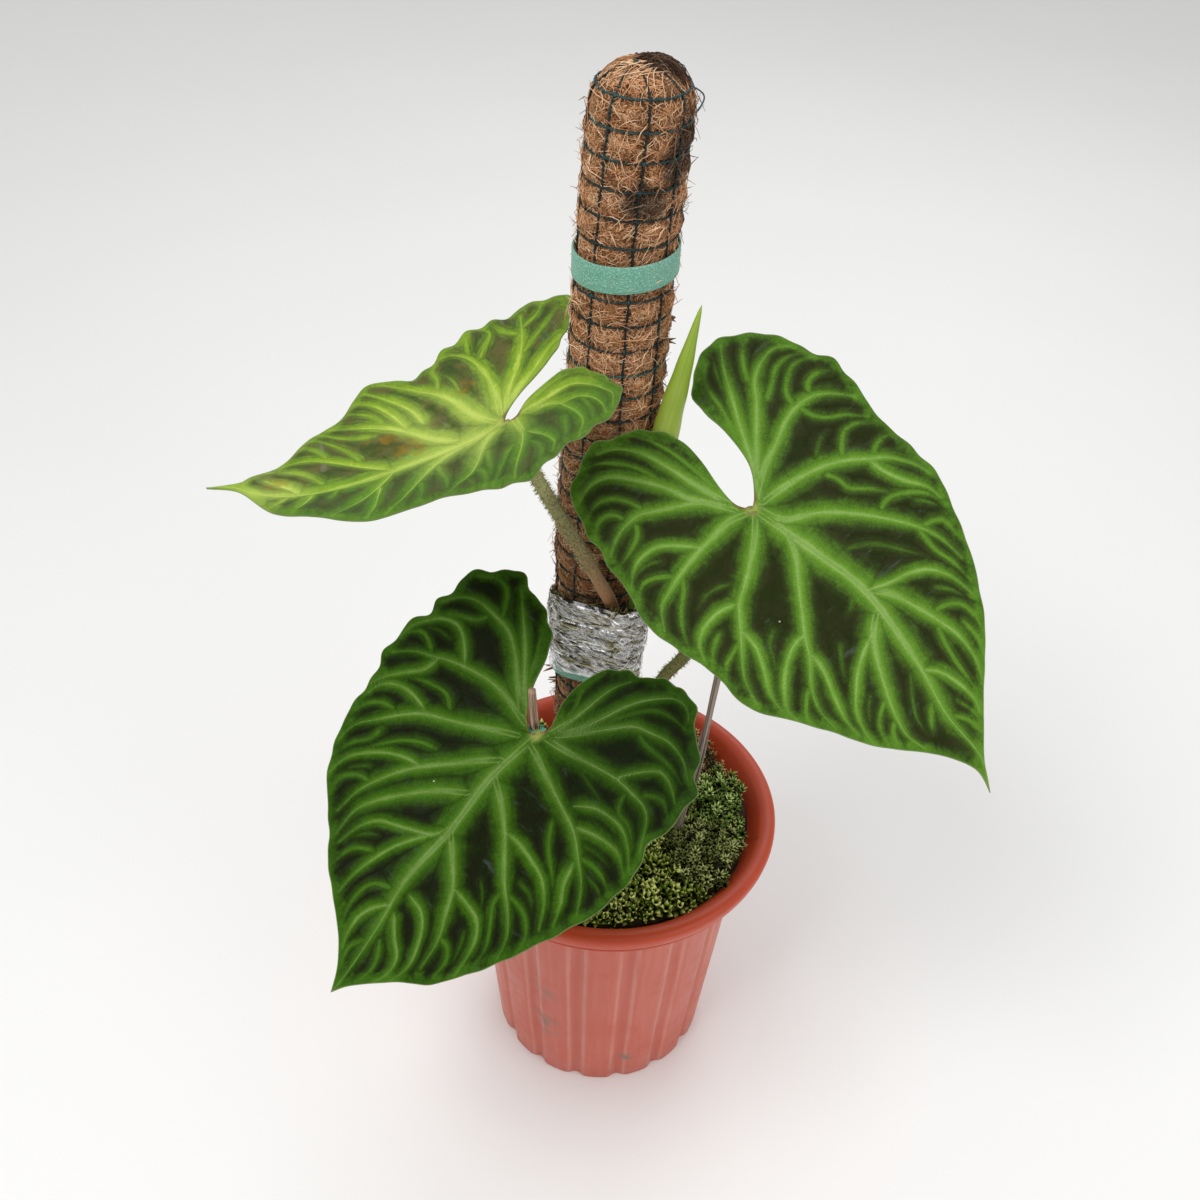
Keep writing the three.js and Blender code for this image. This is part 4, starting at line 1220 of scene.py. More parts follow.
    def _stubs(self, stock: Stock, draw: Draw, low: float, high: float) -> None:
        """Adds the two broken dark stubs on the pole's right side and the frayed ones low on its left."""
        for height, degrees, reach in self.stubs:
            for _ in range(5 if low < height < high else 0):
                z = height + draw.normal(0.0, 0.6)
                turn = degrees + draw.normal(0.0, 3.0)
                out = np.array([0.0, 0.4, 0.75, 1.0]) * reach * draw.uniform(0.7, 1.1)
                line = self.spot(z - out * draw.uniform(-0.2, 0.5), 19.5 + out, np.full(4, turn))
                dark = 0.75 if degrees > 0 else 0.2
                strand(stock, line, [0.5, 0.45, 0.35, 0.2], UP, 4, tone=0.4, stain=dark)


@dataclass
class Net:
    """Knotted net of two-ply cord around the pole."""

    pole: Pole
    ply: float = 0.36
    lay: float = 4.2
    gather: tuple[float, float] = (-3.5, -1.0)

    def cord(self, stock: Stock, line: Points, centre: Points, tone: float) -> None:
        """Adds two plies twisted round one line.

        Args:
            stock: where they go.
            line: the cord's own line.
            centre: points of the pole's axis beside it.
            tone: how light the cord is.
        """
        away = unit(line - centre)
        ahead = unit(np.gradient(line, axis=0))
        side = unit(np.cross(ahead, away))
        up = np.cross(side, ahead)
        run = np.concatenate([[0.0], np.cumsum(np.linalg.norm(np.diff(line, axis=0), axis=1))])
        for phase in (0.0, math.pi):
            twist = TURN * run / self.lay + phase
            ply = line + 0.3 * (np.cos(twist)[:, None] * up + np.sin(twist)[:, None] * side)
            shade = tone + 0.25 * np.cos(twist)
            strand(stock, ply, self.ply, away, 4, tone=shade[None])

    def build(self, finish: Material) -> Piece:
        """Makes the whole net as one piece."""
        p = self.pole
        draw = np.random.default_rng(5)
        stock = Stock()
        heights = [p.ring_height(k) for k in range(p.rings) if k not in p.covered]
        for z0 in heights:
            turn = np.linspace(0.0, 360.0, 85)
            sag = 0.35 * np.sin(np.radians(turn * 2 + z0)) + 0.25 * np.sin(np.radians(turn * 8))
            z = z0 + sag * (1 - np.abs(turn - 180.0) / 180.0)
            pull = 1.0 + 0.25 * np.abs(np.sin(np.radians(4.0 * (turn - p.turn(z)))))
            line = p.spot(z, (p.groove + pull + 0.3) * p.dome(z) + (1 - p.dome(z)) * 0.5, turn)
            self.cord(stock, line, p.axis(z), float(draw.uniform(0.25, 0.8)))
        for j in range(p.strands):
            z = np.linspace(SOIL_LEVEL, p.top_ring, 230)
            degrees = p.turn(z) + 45.0 * j + 0.6 * np.sin(z * 0.35 + j)
            line = p.spot(z, (p.groove + 1.3) * p.dome(z), degrees)
            line = np.vstack([line, self._over_the_top(line[-1], j)])
            self.cord(stock, line, p.axis(line[:, 2]) - [0.0, 0.0, 8.0], float(draw.uniform(0.1, 0.5)))
        self._knots(stock, heights, draw)
        self._loose_end(stock)
        return stock.piece("net_cords", [finish])

    def _over_the_top(self, start: Points, number: int) -> Points:
        """Line of an upright strand from the top ring to the gather on the dome."""
        p = self.pole
        gather = p.crown() + [*self.gather, 0.9]
        share = np.linspace(0.06, 0.93 - 0.03 * (number % 3), 14)[:, None]
        line = start + (gather - start) * share
        line[:, 2] = p.over(np.linalg.norm(line[:, :2] - p.crown()[:2], axis=1)) + 0.75
        return line

    def _knots(self, stock: Stock, heights: Sequence[float], draw: Draw) -> None:
        """Adds the small knots where rings cross the upright strands."""
        p = self.pole
        for z0 in heights:
            for j in range(p.strands):
                turn = p.turn(z0) + 45.0 * j
                rise = np.array([-1.1, -0.4, 0.4, 1.1])
                line = p.spot(z0 + rise, (p.groove + 1.15) * p.dome(z0), np.full(4, turn))
                tone = float(draw.uniform(0.2, 0.9))
                strand(stock, line, [0.35, 0.72, 0.72, 0.35], p.outward(line), 5, tone=tone)
        tie = p.crown() + [*self.gather, 0.7]
        line = tie + np.array([[-1.6, 0.3, 0.0], [-0.6, 0.0, 0.5], [0.6, -0.2, 0.5], [1.8, 0.2, 0.0]])
        strand(stock, line, [0.5, 1.1, 1.0, 0.5], UP, 6, tone=0.7)

    def _loose_end(self, stock: Stock) -> None:
        """Adds the slack loop on the right, from the top ring to the next one."""
        p = self.pole
        z = np.linspace(517.6, 506.4, 14)
        out = np.sin(np.linspace(0.0, math.pi, 14))
        line = p.spot(z, (p.groove + 0.8) * p.dome(z) + 4.2 * out, 84.0 + 10.0 * out)
        strand(stock, line, 0.32, unit(line - p.axis(z)), 5, tone=0.95)


@dataclass
class Wrap:
    """Packed moss around the pole and stem, the film over it, and the outline that both follow."""

    pole: Pole
    tilt: float = 0.5
    levels: tuple[Triple, ...] = (
        (236.3, 21.6, 6.4), (242.3, 22.4, 7.6), (256.3, 22.9, 9.2), (270.0, 23.2, 10.8), (279.0, 22.4, 10.8))
    stem: Path = ((7, 1, 118), (7, 2, 157), (5.5, 4, 200), (4, 6, 240), (1.5, 7.5, 272))
    strap_section: Flat = (
        (229.3, 0.15), (229.3, 0.75), (229.6, 0.95), (232.6, 1.0),
        (235.6, 0.95), (235.9, 0.75), (235.9, 0.15), (232.6, 0.05))
    strap_radii: tuple[float, float] = (20.9, 5.5)
    film_lift: float = 0.7
    crease_height: float = 0.9
    film_gauge: float = 0.12
    hem: float = 2.6

    def outline(self, level: float, angles: Points, pole_radius: float, stem_radius: float,
                lumps: float = 1.0) -> Points:
        """Line drawn tight around the pole and the stem on a plane that drops towards the back.

        Args:
            level: height of the plane beside the pole.
            angles: directions in radians.
            pole_radius: clearance round the pole's centre.
            stem_radius: clearance round the stem's centre.
            lumps: how uneven the packing is.

        Returns:
            One point for each direction.
        """
        pole = self.pole.axis(np.array(level))
        rise = stalk_curve(self.stem)
        stem = rise[np.argmin(np.abs(rise[:, 2] - min(level + 14.0, 271.0)))]
        out = bearing(angles)
        uneven = lumps * (0.5 * np.sin(3 * angles + level * 0.3) + 0.4 * np.sin(5 * angles - level * 0.21))
        on_pole = pole_radius + out @ pole[:2]
        on_stem = stem_radius + out @ stem[:2]
        blend = smooth(-1.5, 1.5, on_pole - on_stem)[:, None]
        centre = pole[:2] * blend + stem[:2] * (1 - blend)
        radius = pole_radius * blend + stem_radius * (1 - blend) + uneven[:, None]
        flat = centre + out * radius
        return np.column_stack([flat, level - self.tilt * (flat[:, 1] - 32.0)])

    def sizes(self, level: float) -> tuple[float, float]:
        """Radii round the pole and the stem at a level."""
        heights, pole, stem = zip(*self.levels)
        return float(np.interp(level, heights, pole)), float(np.interp(level, heights, stem))

    def spots(self, level: Points, angle: Points, pad: Points) -> Points:
        """Points on the wrapped surface for some levels, directions and clearances."""
        out = np.zeros((len(level), 3))
        for k, (z, a, d) in enumerate(zip(level, angle, pad)):
            pole, stem = self.sizes(float(z))
            out[k] = self.outline(float(z), np.array([a]), pole + d, stem + d)[0]
        return out

    def wad(self, finish: Material) -> Piece:
        """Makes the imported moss: a lumpy body and the long fibres that wind around it."""
        draw = np.random.default_rng(31)
        stock = Stock()
        around = 120
        angles = compass(around)
        rings = []
        for level in np.linspace(self.levels[0][0], self.levels[-1][0], 34):
            ring = self.outline(level, angles, *self.sizes(level))
            ring[:, :2] += 0.35 * np.sin(angles * 23 + level * 1.7)[:, None] * bearing(angles)
            rings.append(ring)
        skin = np.vstack(rings)
        middle = [rings[0].mean(axis=0), rings[-1].mean(axis=0) - [0.0, 0.0, 1.0]]
        faces = [grid_faces(len(rings), around), *cap_faces(len(rings), around)]
        # The lumpy body is kept dark: partly the packed moss's own brown, partly painted shade in the gaps
        # between the winding fibres.
        stock.add(np.vstack([skin, *[m[None] for m in middle]]), faces, tone=0.12)
        self._winding(stock, draw)
        self._frayed_top(stock, draw)
        return stock.piece("wad_fibres", [finish])

    @staticmethod
    def _sideways(lines: Points) -> Points:
        """Level directions from the middle of many strands to their points."""
        return unit((lines - lines.mean(axis=(0, 1))) * [1.0, 1.0, 0.0])

    def _winding(self, stock: Stock, draw: Draw, count: int = 640) -> None:
        """Adds long fibres that wind mostly sideways round the body."""
        steps = 7
        angle = draw.uniform(0, TURN, count)
        level = draw.uniform(237.5, 279.0, count)
        slope = draw.normal(-1.5, 9.0, count)
        span = draw.uniform(0.35, 1.1, count)
        pad = draw.uniform(0.0, 0.6, count)
        lines = np.zeros((count, steps, 3))
        for k in range(steps):
            share = k / (steps - 1) - 0.5
            wave = 1.1 * np.sin(6 * share + angle * 9)
            lift = np.clip(level + slope * share + wave, 236.4, 279.8)
            lines[:, k] = self.spots(lift, angle + span * share, pad)
        hue = hues(draw, 0.6, 0.25, count)
        thick = draw.uniform(0.16, 0.4, count)[:, None] * np.array([0.5, 0.9, 1, 1, 1, 0.9, 0.5])
        strands(stock, lines, thick, self._sideways(lines), 3, tone=hue)

    def _frayed_top(self, stock: Stock, draw: Draw, count: int = 420) -> None:
        """Adds the loose ends that stand up over the film's edge, most of them on the left."""
        steps = 4
        on_left = draw.random(count) < 0.45
        angle = np.where(on_left, draw.normal(3.3, 0.5, count), draw.uniform(0, TURN, count))
        rise = draw.uniform(1.0, 6.0, count)
        lean = draw.normal(0.0, 0.12, count)
        lines = np.zeros((count, steps, 3))
        for k in range(steps):
            share = k / (steps - 1)
            lines[:, k] = self.spots(np.full(count, 277.0) + rise * share, angle + lean * share,
                                     draw.uniform(-2.2, 0.2, count) * 0.4 - share * 0.8)
        hue = hues(draw, 0.45, 0.22, count)
        thick = np.full((count, steps), 0.22) * [1.0, 0.9, 0.7, 0.4]
        strands(stock, lines, thick, self._sideways(lines), 3, tone=hue)

    def film(self, finish: Material) -> Piece:
        """Makes the stretched film with its creases and a lower hem that flares on the left."""
        stock = Stock()
        around, rows = 330, 84
        angles = compass(around)
        level = np.linspace(234.6, 279.6, rows)
        folds = self._folds(angles, level)
        skins = []
        for inner in (0.0, self.film_gauge):
            rings = []
            for z, fold in zip(level, folds):
                flare = self.hem * np.exp(-(((angles - 3.5) / 0.55) ** 2)) * smooth(242.0, 234.6, z)
                pad = self.film_lift + self.crease_height * fold + flare - inner
                ring = self.outline(z, angles, *self.sizes(z))
                ring[:, :2] += bearing(angles) * pad[:, None]
                ring[:, 2] += 0.8 * np.sin(angles * 5 + 1.0) * smooth(275.0, 279.6, z)
                rings.append(ring)
            skins.append(np.vstack(rings))
        size = rows * around
        last = size - around
        outer = grid_faces(rows, around)
        i = np.arange(around)
        j = (i + 1) % around
        foot = np.stack([i, size + i, size + j, j], axis=-1)
        head = np.stack([last + i, last + j, size + last + j, size + last + i], axis=-1)
        faces = [outer, outer[:, ::-1] + size, foot, head]
        stock.add(np.vstack(skins), faces, crease=np.tile(folds.ravel(), 2))
        return stock.piece("film_wrap", [finish])

    def _folds(self, angles: Points, level: Points, count: int = 220) -> Points:
        """Height of the film's creases, from 0 to 1: thin slanting lines of many lengths."""
        draw = np.random.default_rng(8)
        a, z = np.meshgrid(angles * 23.0, level, indexing="xy")
        total = np.zeros(a.shape)
        for _ in range(count):
            middle, height = draw.uniform(0, 145), draw.uniform(235, 279)
            slope = draw.normal(-0.15, 0.35) if draw.random() < 0.6 else draw.uniform(-1.6, 1.6)
            half, wide = draw.uniform(2.5, 12.0), draw.uniform(0.3, 0.7)
            across = (a - middle + 72.3) % 144.5 - 72.3
            scale = math.hypot(1.0, slope)
            off = (z - height - slope * across - 0.02 * across * across * draw.normal()) / scale
            run = across * scale / half
            crease = np.exp(-((off / wide) ** 2)) * np.exp(-(run ** 4))
            total = np.maximum(total, crease * draw.uniform(0.4, 1.0))
        return total

    def strap(self, finish: Material) -> Piece:
        """Makes the strap low on the pole, which passes round the stem as well."""
        stock = Stock()
        around = 160
        angles = compass(around)
        pole, stem = self.strap_radii
        rings = [self.outline(z, angles, pole + pad, stem + pad, 0.0) for z, pad in self.strap_section]
        rows = len(rings)
        faces = grid_faces(rows + 1, around) % (rows * around)
        stock.add(np.vstack(rings), [faces])
        return stock.piece("strap_mid", [finish])


@dataclass
class UpperStrap:
    """Hook-and-loop strap high on the pole, its end laid over itself at the back."""

    pole: Pole
    bottom: float = 443.4
    height: float = 11.6
    tilt: float = 0.08
    radius: float = 21.0
    lap: tuple[float, float] = (135.0, 195.0)

    def build(self, finish: Material) -> Piece:
        """Makes the strap from a ring that is drawn up, tilted and given its thickness."""
        centre = self.pole.axis(np.array(self.bottom + self.height / 2))
        made = Bench.ring(self.radius, self.bottom, 144, (float(centre[0]), float(centre[1])))
        rows = 4
        for _ in range(rows):
            lift = {"value": (0.0, 0.0, self.height * MM / rows)}
            bpy.ops.mesh.extrude_region_move(TRANSFORM_OT_translate=lift)

        def in_lap(c: Vector) -> bool:
            """Tells whether a corner lies where the strap's end is laid over its start."""
            turn = math.degrees(math.atan2(c.y - centre[1], c.x - centre[0])) + 90.0
            return self.lap[0] < turn % 360.0 < self.lap[1]

        Bench.pick(in_lap)
        Bench.widen(1.045, (centre[0] * MM, centre[1] * MM, 0.0))
        Bench.finish(made, "strap_high")
        for corner in made.data.vertices:
            corner.co.z += self.tilt * (corner.co.x - centre[0] * MM)
        Bench.apply(made, "SOLIDIFY", thickness=0.9 * MM, offset=1.0)
        Bench.apply(made, "BEVEL", width=0.25 * MM, segments=2, limit_method="ANGLE")
        Bench.finish(made, "strap_high", 50.0)
        made.data.materials.append(finish)
        return made


# The pot and the moss in it.

@dataclass
class Pot:
    """Fluted nursery pot with a smooth rolled lip and drain holes."""

    flutes: int = 16
    around: int = 12
    depth: float = 2.4
    drains: int = 4
    foot: float = 56.6
    outline: Flat = (
        (0.5, 57.4), (1.6, 58.0), (20.0, 59.5), (50.0, 62.0), (80.0, 64.5), (110.0, 66.95),
        (135.0, 69.0), (149.0, 70.2), (150.4, 70.9), (151.1, 72.2), (151.4, 76.0), (151.7, 80.4),
        (152.2, 81.7), (153.0, 82.3), (153.7, 82.3), (154.2, 81.9), (154.6, 82.0), (155.2, 82.9),
        (156.6, 83.9), (158.8, 84.6), (161.0, 85.0), (162.8, 84.9), (164.0, 84.2), (164.8, 82.8),
        (165.0, 81.2), (164.7, 79.4), (163.9, 77.6), (162.4, 76.0), (158.0, 73.0), (154.0, 70.2),
        (150.0, 67.5), (100.0, 63.4), (50.0, 59.3), (3.4, 55.9), (2.2, 54.8))

    def build(self, finish: Material) -> Piece:
        """Makes the pot: a ring drawn up the wall, over the lip and down inside, then fluted and drained."""
        corners = self.flutes * self.around
        made = Bench.ring(self.foot, 0.0, corners, fill="NGON")
        Bench.climb(self.outline, (0.0, self.foot))
        bpy.ops.mesh.edge_face_add()
        pitch = 360.0 / self.flutes
        for offset, share in ((0.0, 1.0), (1.0, 0.8), (2.0, 0.25)):
            self._press(offset * pitch / self.around, share, pitch)
        Bench.finish(made, "pot_shell", 32.0)
        cutter = self._drain_cutter()
        Bench.apply(made, "BOOLEAN", operation="DIFFERENCE", solver="EXACT", object=cutter)
        bpy.data.objects.remove(cutter)
        Bench.finish(made, "pot_shell", 32.0)
        made.data.materials.append(finish)
        return made

    def _drain_cutter(self) -> Piece:
        """Makes the rods that the drain holes are cut with, as one object."""
        holes = []
        for k in range(self.drains):
            angle = (k + 0.5) / self.drains * TURN
            Bench.clear()
            place = (36.0 * MM * math.cos(angle), 36.0 * MM * math.sin(angle), 1.0 * MM)
            bpy.ops.mesh.primitive_cylinder_add(vertices=32, radius=5.0 * MM, depth=8.0 * MM, location=place)
            holes.append(bpy.context.object)
        Bench.clear()
        for hole in holes:
            hole.select_set(True)
        bpy.context.view_layer.objects.active = holes[0]
        bpy.ops.object.join()
        return bpy.context.object

    def _press(self, offset: float, share: float, pitch: float) -> None:
        """Presses the corners at one distance from every groove's middle towards the pot's axis."""

        def in_groove(c: Vector) -> bool:
            """Tells whether a corner of the outer wall lies that far from a groove's middle."""
            if c.z > 150.6 or math.hypot(c.x, c.y) < 56.5 + c.z * 0.084 - 0.4:
                return False
            turn = (math.degrees(math.atan2(c.y, c.x)) + 90.0 - pitch / 2) % pitch
            return abs(min(turn, pitch - turn) - offset) < 0.3

        Bench.pick(in_groove)
        Bench.widen(1.0 - self.depth * share / 64.0, (0.0, 0.0, 0.0))


class Moss(Enum):
    """Kinds of moss in the pot, in the order of their tuft forms."""

    LOOSE = "loose"
    GREEN = "green"
    OLIVE = "olive"
    BROWN = "brown"


@dataclass(frozen=True)
class TuftForm:
    """Distance between one kind's tufts, and the number, length, half width and curl of their leaflets."""

    spacing: float
    leaflets: int
    length: float
    width: float
    curl: float
    tiers: int = 2


@dataclass
class MossBed:
    """Cushions of moss over the soil, each with its middle, radius and rise, and the tufts on them."""

    floor: float = 154.35
    reach: float = 71.4
    litter: float = 1.8
    pole_hole: Triple = (-9.2, 30.6, 20.5)
    cushions: tuple[tuple[float, float, float, float], ...] = (
        (58, 5, 21, 10), (46, -27, 20, 9.5), (17, -50, 22, 7), (-14, -55, 20, 7.5), (-44, -38, 22, 8),
        (-60, -2, 20, 8), (-48, 42, 22, 7), (-6, 66, 16, 5), (38, 50, 24, 6), (20, -18, 18, 5),
        (-28, -12, 20, 5))
    tuft_forms: tuple[TuftForm, ...] = (
        TuftForm(3.9, 4, 4.1, 1.4, 0.25), TuftForm(3.7, 7, 4.3, 0.66, 0.5), TuftForm(3.7, 7, 4.2, 0.58, 0.6),
        TuftForm(3.2, 6, 3.4, 0.45, 1.0))
    shapes: int = 6

    def height(self, x: Points, y: Points) -> Points:
        """Height of the moss over the soil."""
        top = np.full(np.shape(x), self.litter)
        for cx, cy, radius, rise in self.cushions:
            near = 1 - ((x - cx) ** 2 + (y - cy) ** 2) / radius ** 2
            mound = self.litter + rise * np.sqrt(np.maximum(near, 0)) * 1.1
            top = np.where(near > 0, np.maximum(top, mound), top)
        return top

    def ground(self, finish: Material) -> Piece:
        """Makes the crumbly ground that the tufts grow on."""
        draw = np.random.default_rng(3)
        around, rows = 180, 60
        angle = compass(around)
        radius = np.linspace(1.0, self.reach, rows)
        r, a = np.meshgrid(radius, angle, indexing="ij")
        x, y = r * np.cos(a), r * np.sin(a)
        rough = draw.normal(0.0, 0.35, x.shape)
        edge = smooth(self.reach + 0.5, self.reach - 2.5, r)
        z = self.floor + (self.height(x, y) - 1.2) * edge + rough * edge
        stock = Stock()
        corners = np.stack([x, y, z], axis=-1)[::-1].reshape(-1, 3)
        low = np.stack([x[-1], y[-1], np.full(around, self.floor - 0.1)], axis=-1)
        ends = np.array([[0.0, 0.0, self.floor - 0.1], [0.0, 0.0, self.floor + self.height(0.0, 0.0) - 1.2]])
        faces = [grid_faces(rows + 1, around), *cap_faces(rows + 1, around)]
        stock.add(np.vstack([low, corners, ends]), faces)
        self._chips(stock, draw)
        return stock.piece("moss_ground", [finish])

    def _chips(self, stock: Stock, draw: Draw, count: int = 260) -> None:
        """Adds bark chips and twigs that lie among the cushions."""
        for _ in range(count):
            r, a = 66 * math.sqrt(draw.random()), draw.uniform(0, TURN)
            x, y = r * math.cos(a), r * math.sin(a)
            z = self.floor + float(self.height(x, y)) - 0.6
            turn = draw.uniform(0, TURN)
            size = draw.uniform(0.8, 2.6)
            ahead = [math.cos(turn), math.sin(turn), draw.normal(0.0, 0.25)]
            line = np.array([[x, y, z]]) + np.linspace(-size, size, 4)[:, None] * ahead
            strand(stock, line, draw.uniform(0.3, 0.9) * np.array([0.5, 1.0, 0.9, 0.4]), UP, 5)

    def kind(self, x: Points, y: Points) -> Points:
        """Kind of moss at each place, as its number in the list of kinds."""
        green = np.hypot(x - 62, y - 4) < 20
        olive = np.hypot(x - 49, y + 27) < 21
        brown = (y > 18) & (x > 8) & ~green
        brown |= (np.hypot(x - 33, y + 1) < 13) | (np.hypot(x + 5, y - 58) < 18)
        made = np.zeros(np.shape(x), int)
        for kind, here in ((Moss.BROWN, brown), (Moss.OLIVE, olive), (Moss.GREEN, green)):
            made[here] = list(Moss).index(kind)
        return made

    @staticmethod
    def tuft(form: TuftForm, draw: Draw) -> tuple[Points, Points, Points]:
        """Models one tuft of pointed leaflets round a short shoot.

        Args:
            form: sizes of the tuft.
            draw: source of small differences.

        Returns:
            Corners, faces and how near each corner is to a tip.
        """
        corners, faces, tips = [], [], []
        for tier in range(form.tiers):
            rise = tier / (form.tiers - 1)
            for leaflet in range(form.leaflets):
                angle = (leaflet + 0.5 * tier + draw.uniform(-0.2, 0.2)) * TURN / form.leaflets
                lean = (1.15 - 0.75 * rise) + draw.uniform(-0.15, 0.15)
                out = np.array([math.cos(angle), math.sin(angle), 0.0])
                side = np.array([-math.sin(angle), math.cos(angle), 0.0])
                reach = form.length * draw.uniform(0.8, 1.15)
                base = UP * (rise * form.length * 0.8)
                ahead = out * math.sin(lean) + UP * math.cos(lean)
                bent = out * math.sin(lean + form.curl) + UP * math.cos(lean + form.curl)
                middle = base + ahead * reach * 0.55
                tip = middle + bent * reach * 0.5
                lift = np.cross(side, ahead) * form.width * 0.7
                start = len(corners)
                corners += [base, middle + side * form.width, middle - side * form.width, middle + lift, tip]
                sides = ((0, 2, 3), (0, 3, 1), (0, 1, 2), (4, 3, 2), (4, 1, 3), (4, 2, 1))
                faces += [[start + k for k in face] for face in sides]
                tips += [0.0, 0.5, 0.5, 0.62, 1.0]
        return np.array(corners), np.array(faces), np.array(tips)

    def tufts(self, kind: Moss, finish: Material) -> Piece:
        """Plants every tuft of one kind.

        Args:
            kind: the kind of moss.
            finish: its material.

        Returns:
            The tufts as one piece.
        """
        number = list(Moss).index(kind)
        draw = np.random.default_rng(70 + number)
        form = self.tuft_forms[number]
        shapes = [self.tuft(form, draw) for _ in range(self.shapes)]
        span = 70
        steps = int(2 * span / form.spacing)
        row, column = np.meshgrid(np.arange(steps), np.arange(steps), indexing="ij")
        space = form.spacing
        x = (column + 0.5 * (row % 2)) * space - span + draw.uniform(-0.4, 0.4, row.shape) * space
        y = row * space * 0.9 - span + draw.uniform(-0.4, 0.4, row.shape) * space
        keep = (np.hypot(x, y) < self.reach - 1.2) & (self.kind(x, y) == number)
        hole_x, hole_y, hole = self.pole_hole
        keep &= np.hypot(x - hole_x, y - hole_y) > hole
        if kind is Moss.BROWN:
            keep &= draw.random(x.shape) < 0.7
        stock = Stock()
        for px, py in zip(x[keep], y[keep]):
            corners, faces, tips = shapes[draw.integers(len(shapes))]
            turn, size = draw.uniform(0, TURN), draw.uniform(0.75, 1.25)
            step = 0.8
            slope = np.array([self.height(px + step, py) - self.height(px - step, py),
                              self.height(px, py + step) - self.height(px, py - step)]) / (2 * step)
            up = unit(np.array([-slope[0], -slope[1], 1.6]) + np.append(draw.normal(0.0, 0.25, 2), 0.0))
            side = unit(np.cross(up, [math.cos(turn), math.sin(turn), 0.0]))
            base = np.array([px, py, self.floor + float(self.height(px, py)) - 1.5 + draw.normal(0.0, 0.3)])
            placed = base + (corners * size) @ np.stack([side, np.cross(up, side), up])
            stock.add(placed, [faces], tone=float(np.clip(draw.normal(0.5, 0.25), 0, 1)), tip=tips)
        return stock.piece(f"moss_{kind.value}", [finish])


# Blades, stalks, the rolled leaf and the canes.

@dataclass(frozen=True)
class LeafForm:
    """Shape and vein lines of one heart-shaped blade in its own plane: u to the tip, v to the right."""

    name: str
    stalk: Triple
    yaw: float
    pitch: float
    roll: float
    fold: float
    dip: float
    arch: float
    softness: float
    ripple: float
    midrib: Flat
    right: Flat
    right_lobe: Flat
    left: Flat
    left_lobe: Flat
    veins: str
    fade: float = 0.0
    lift: float = 0.0
    scallop: float = 0.5
    rows: int = 240
    columns: int = 62


class Segments:
    """Many short straight lines that distances are measured from."""

    def __init__(self, start: Points, end: Points) -> None:
        """Keeps where the lines start and how they run."""
        self.start = start
        self.span = end - start
        self.size = np.maximum(self.span[:, 0] * self.span[:, 0] + self.span[:, 1] * self.span[:, 1], 1e-9)

    def measure(self, places: Points) -> tuple[Points, Points, Points]:
        """Measures some places from every line.

        Args:
            places: places in the lines' plane.

        Returns:
            Share along each line, squared distance to it, and a number whose sign tells the side.
        """
        sx, sy = self.span.T
        rx, ry = places[:, :1] - self.start[:, 0], places[:, 1:] - self.start[:, 1]
        t = np.clip((rx * sx + ry * sy) / self.size, 0.0, 1.0)
        return t, (rx - t * sx) ** 2 + (ry - t * sy) ** 2, sx * ry - sy * rx


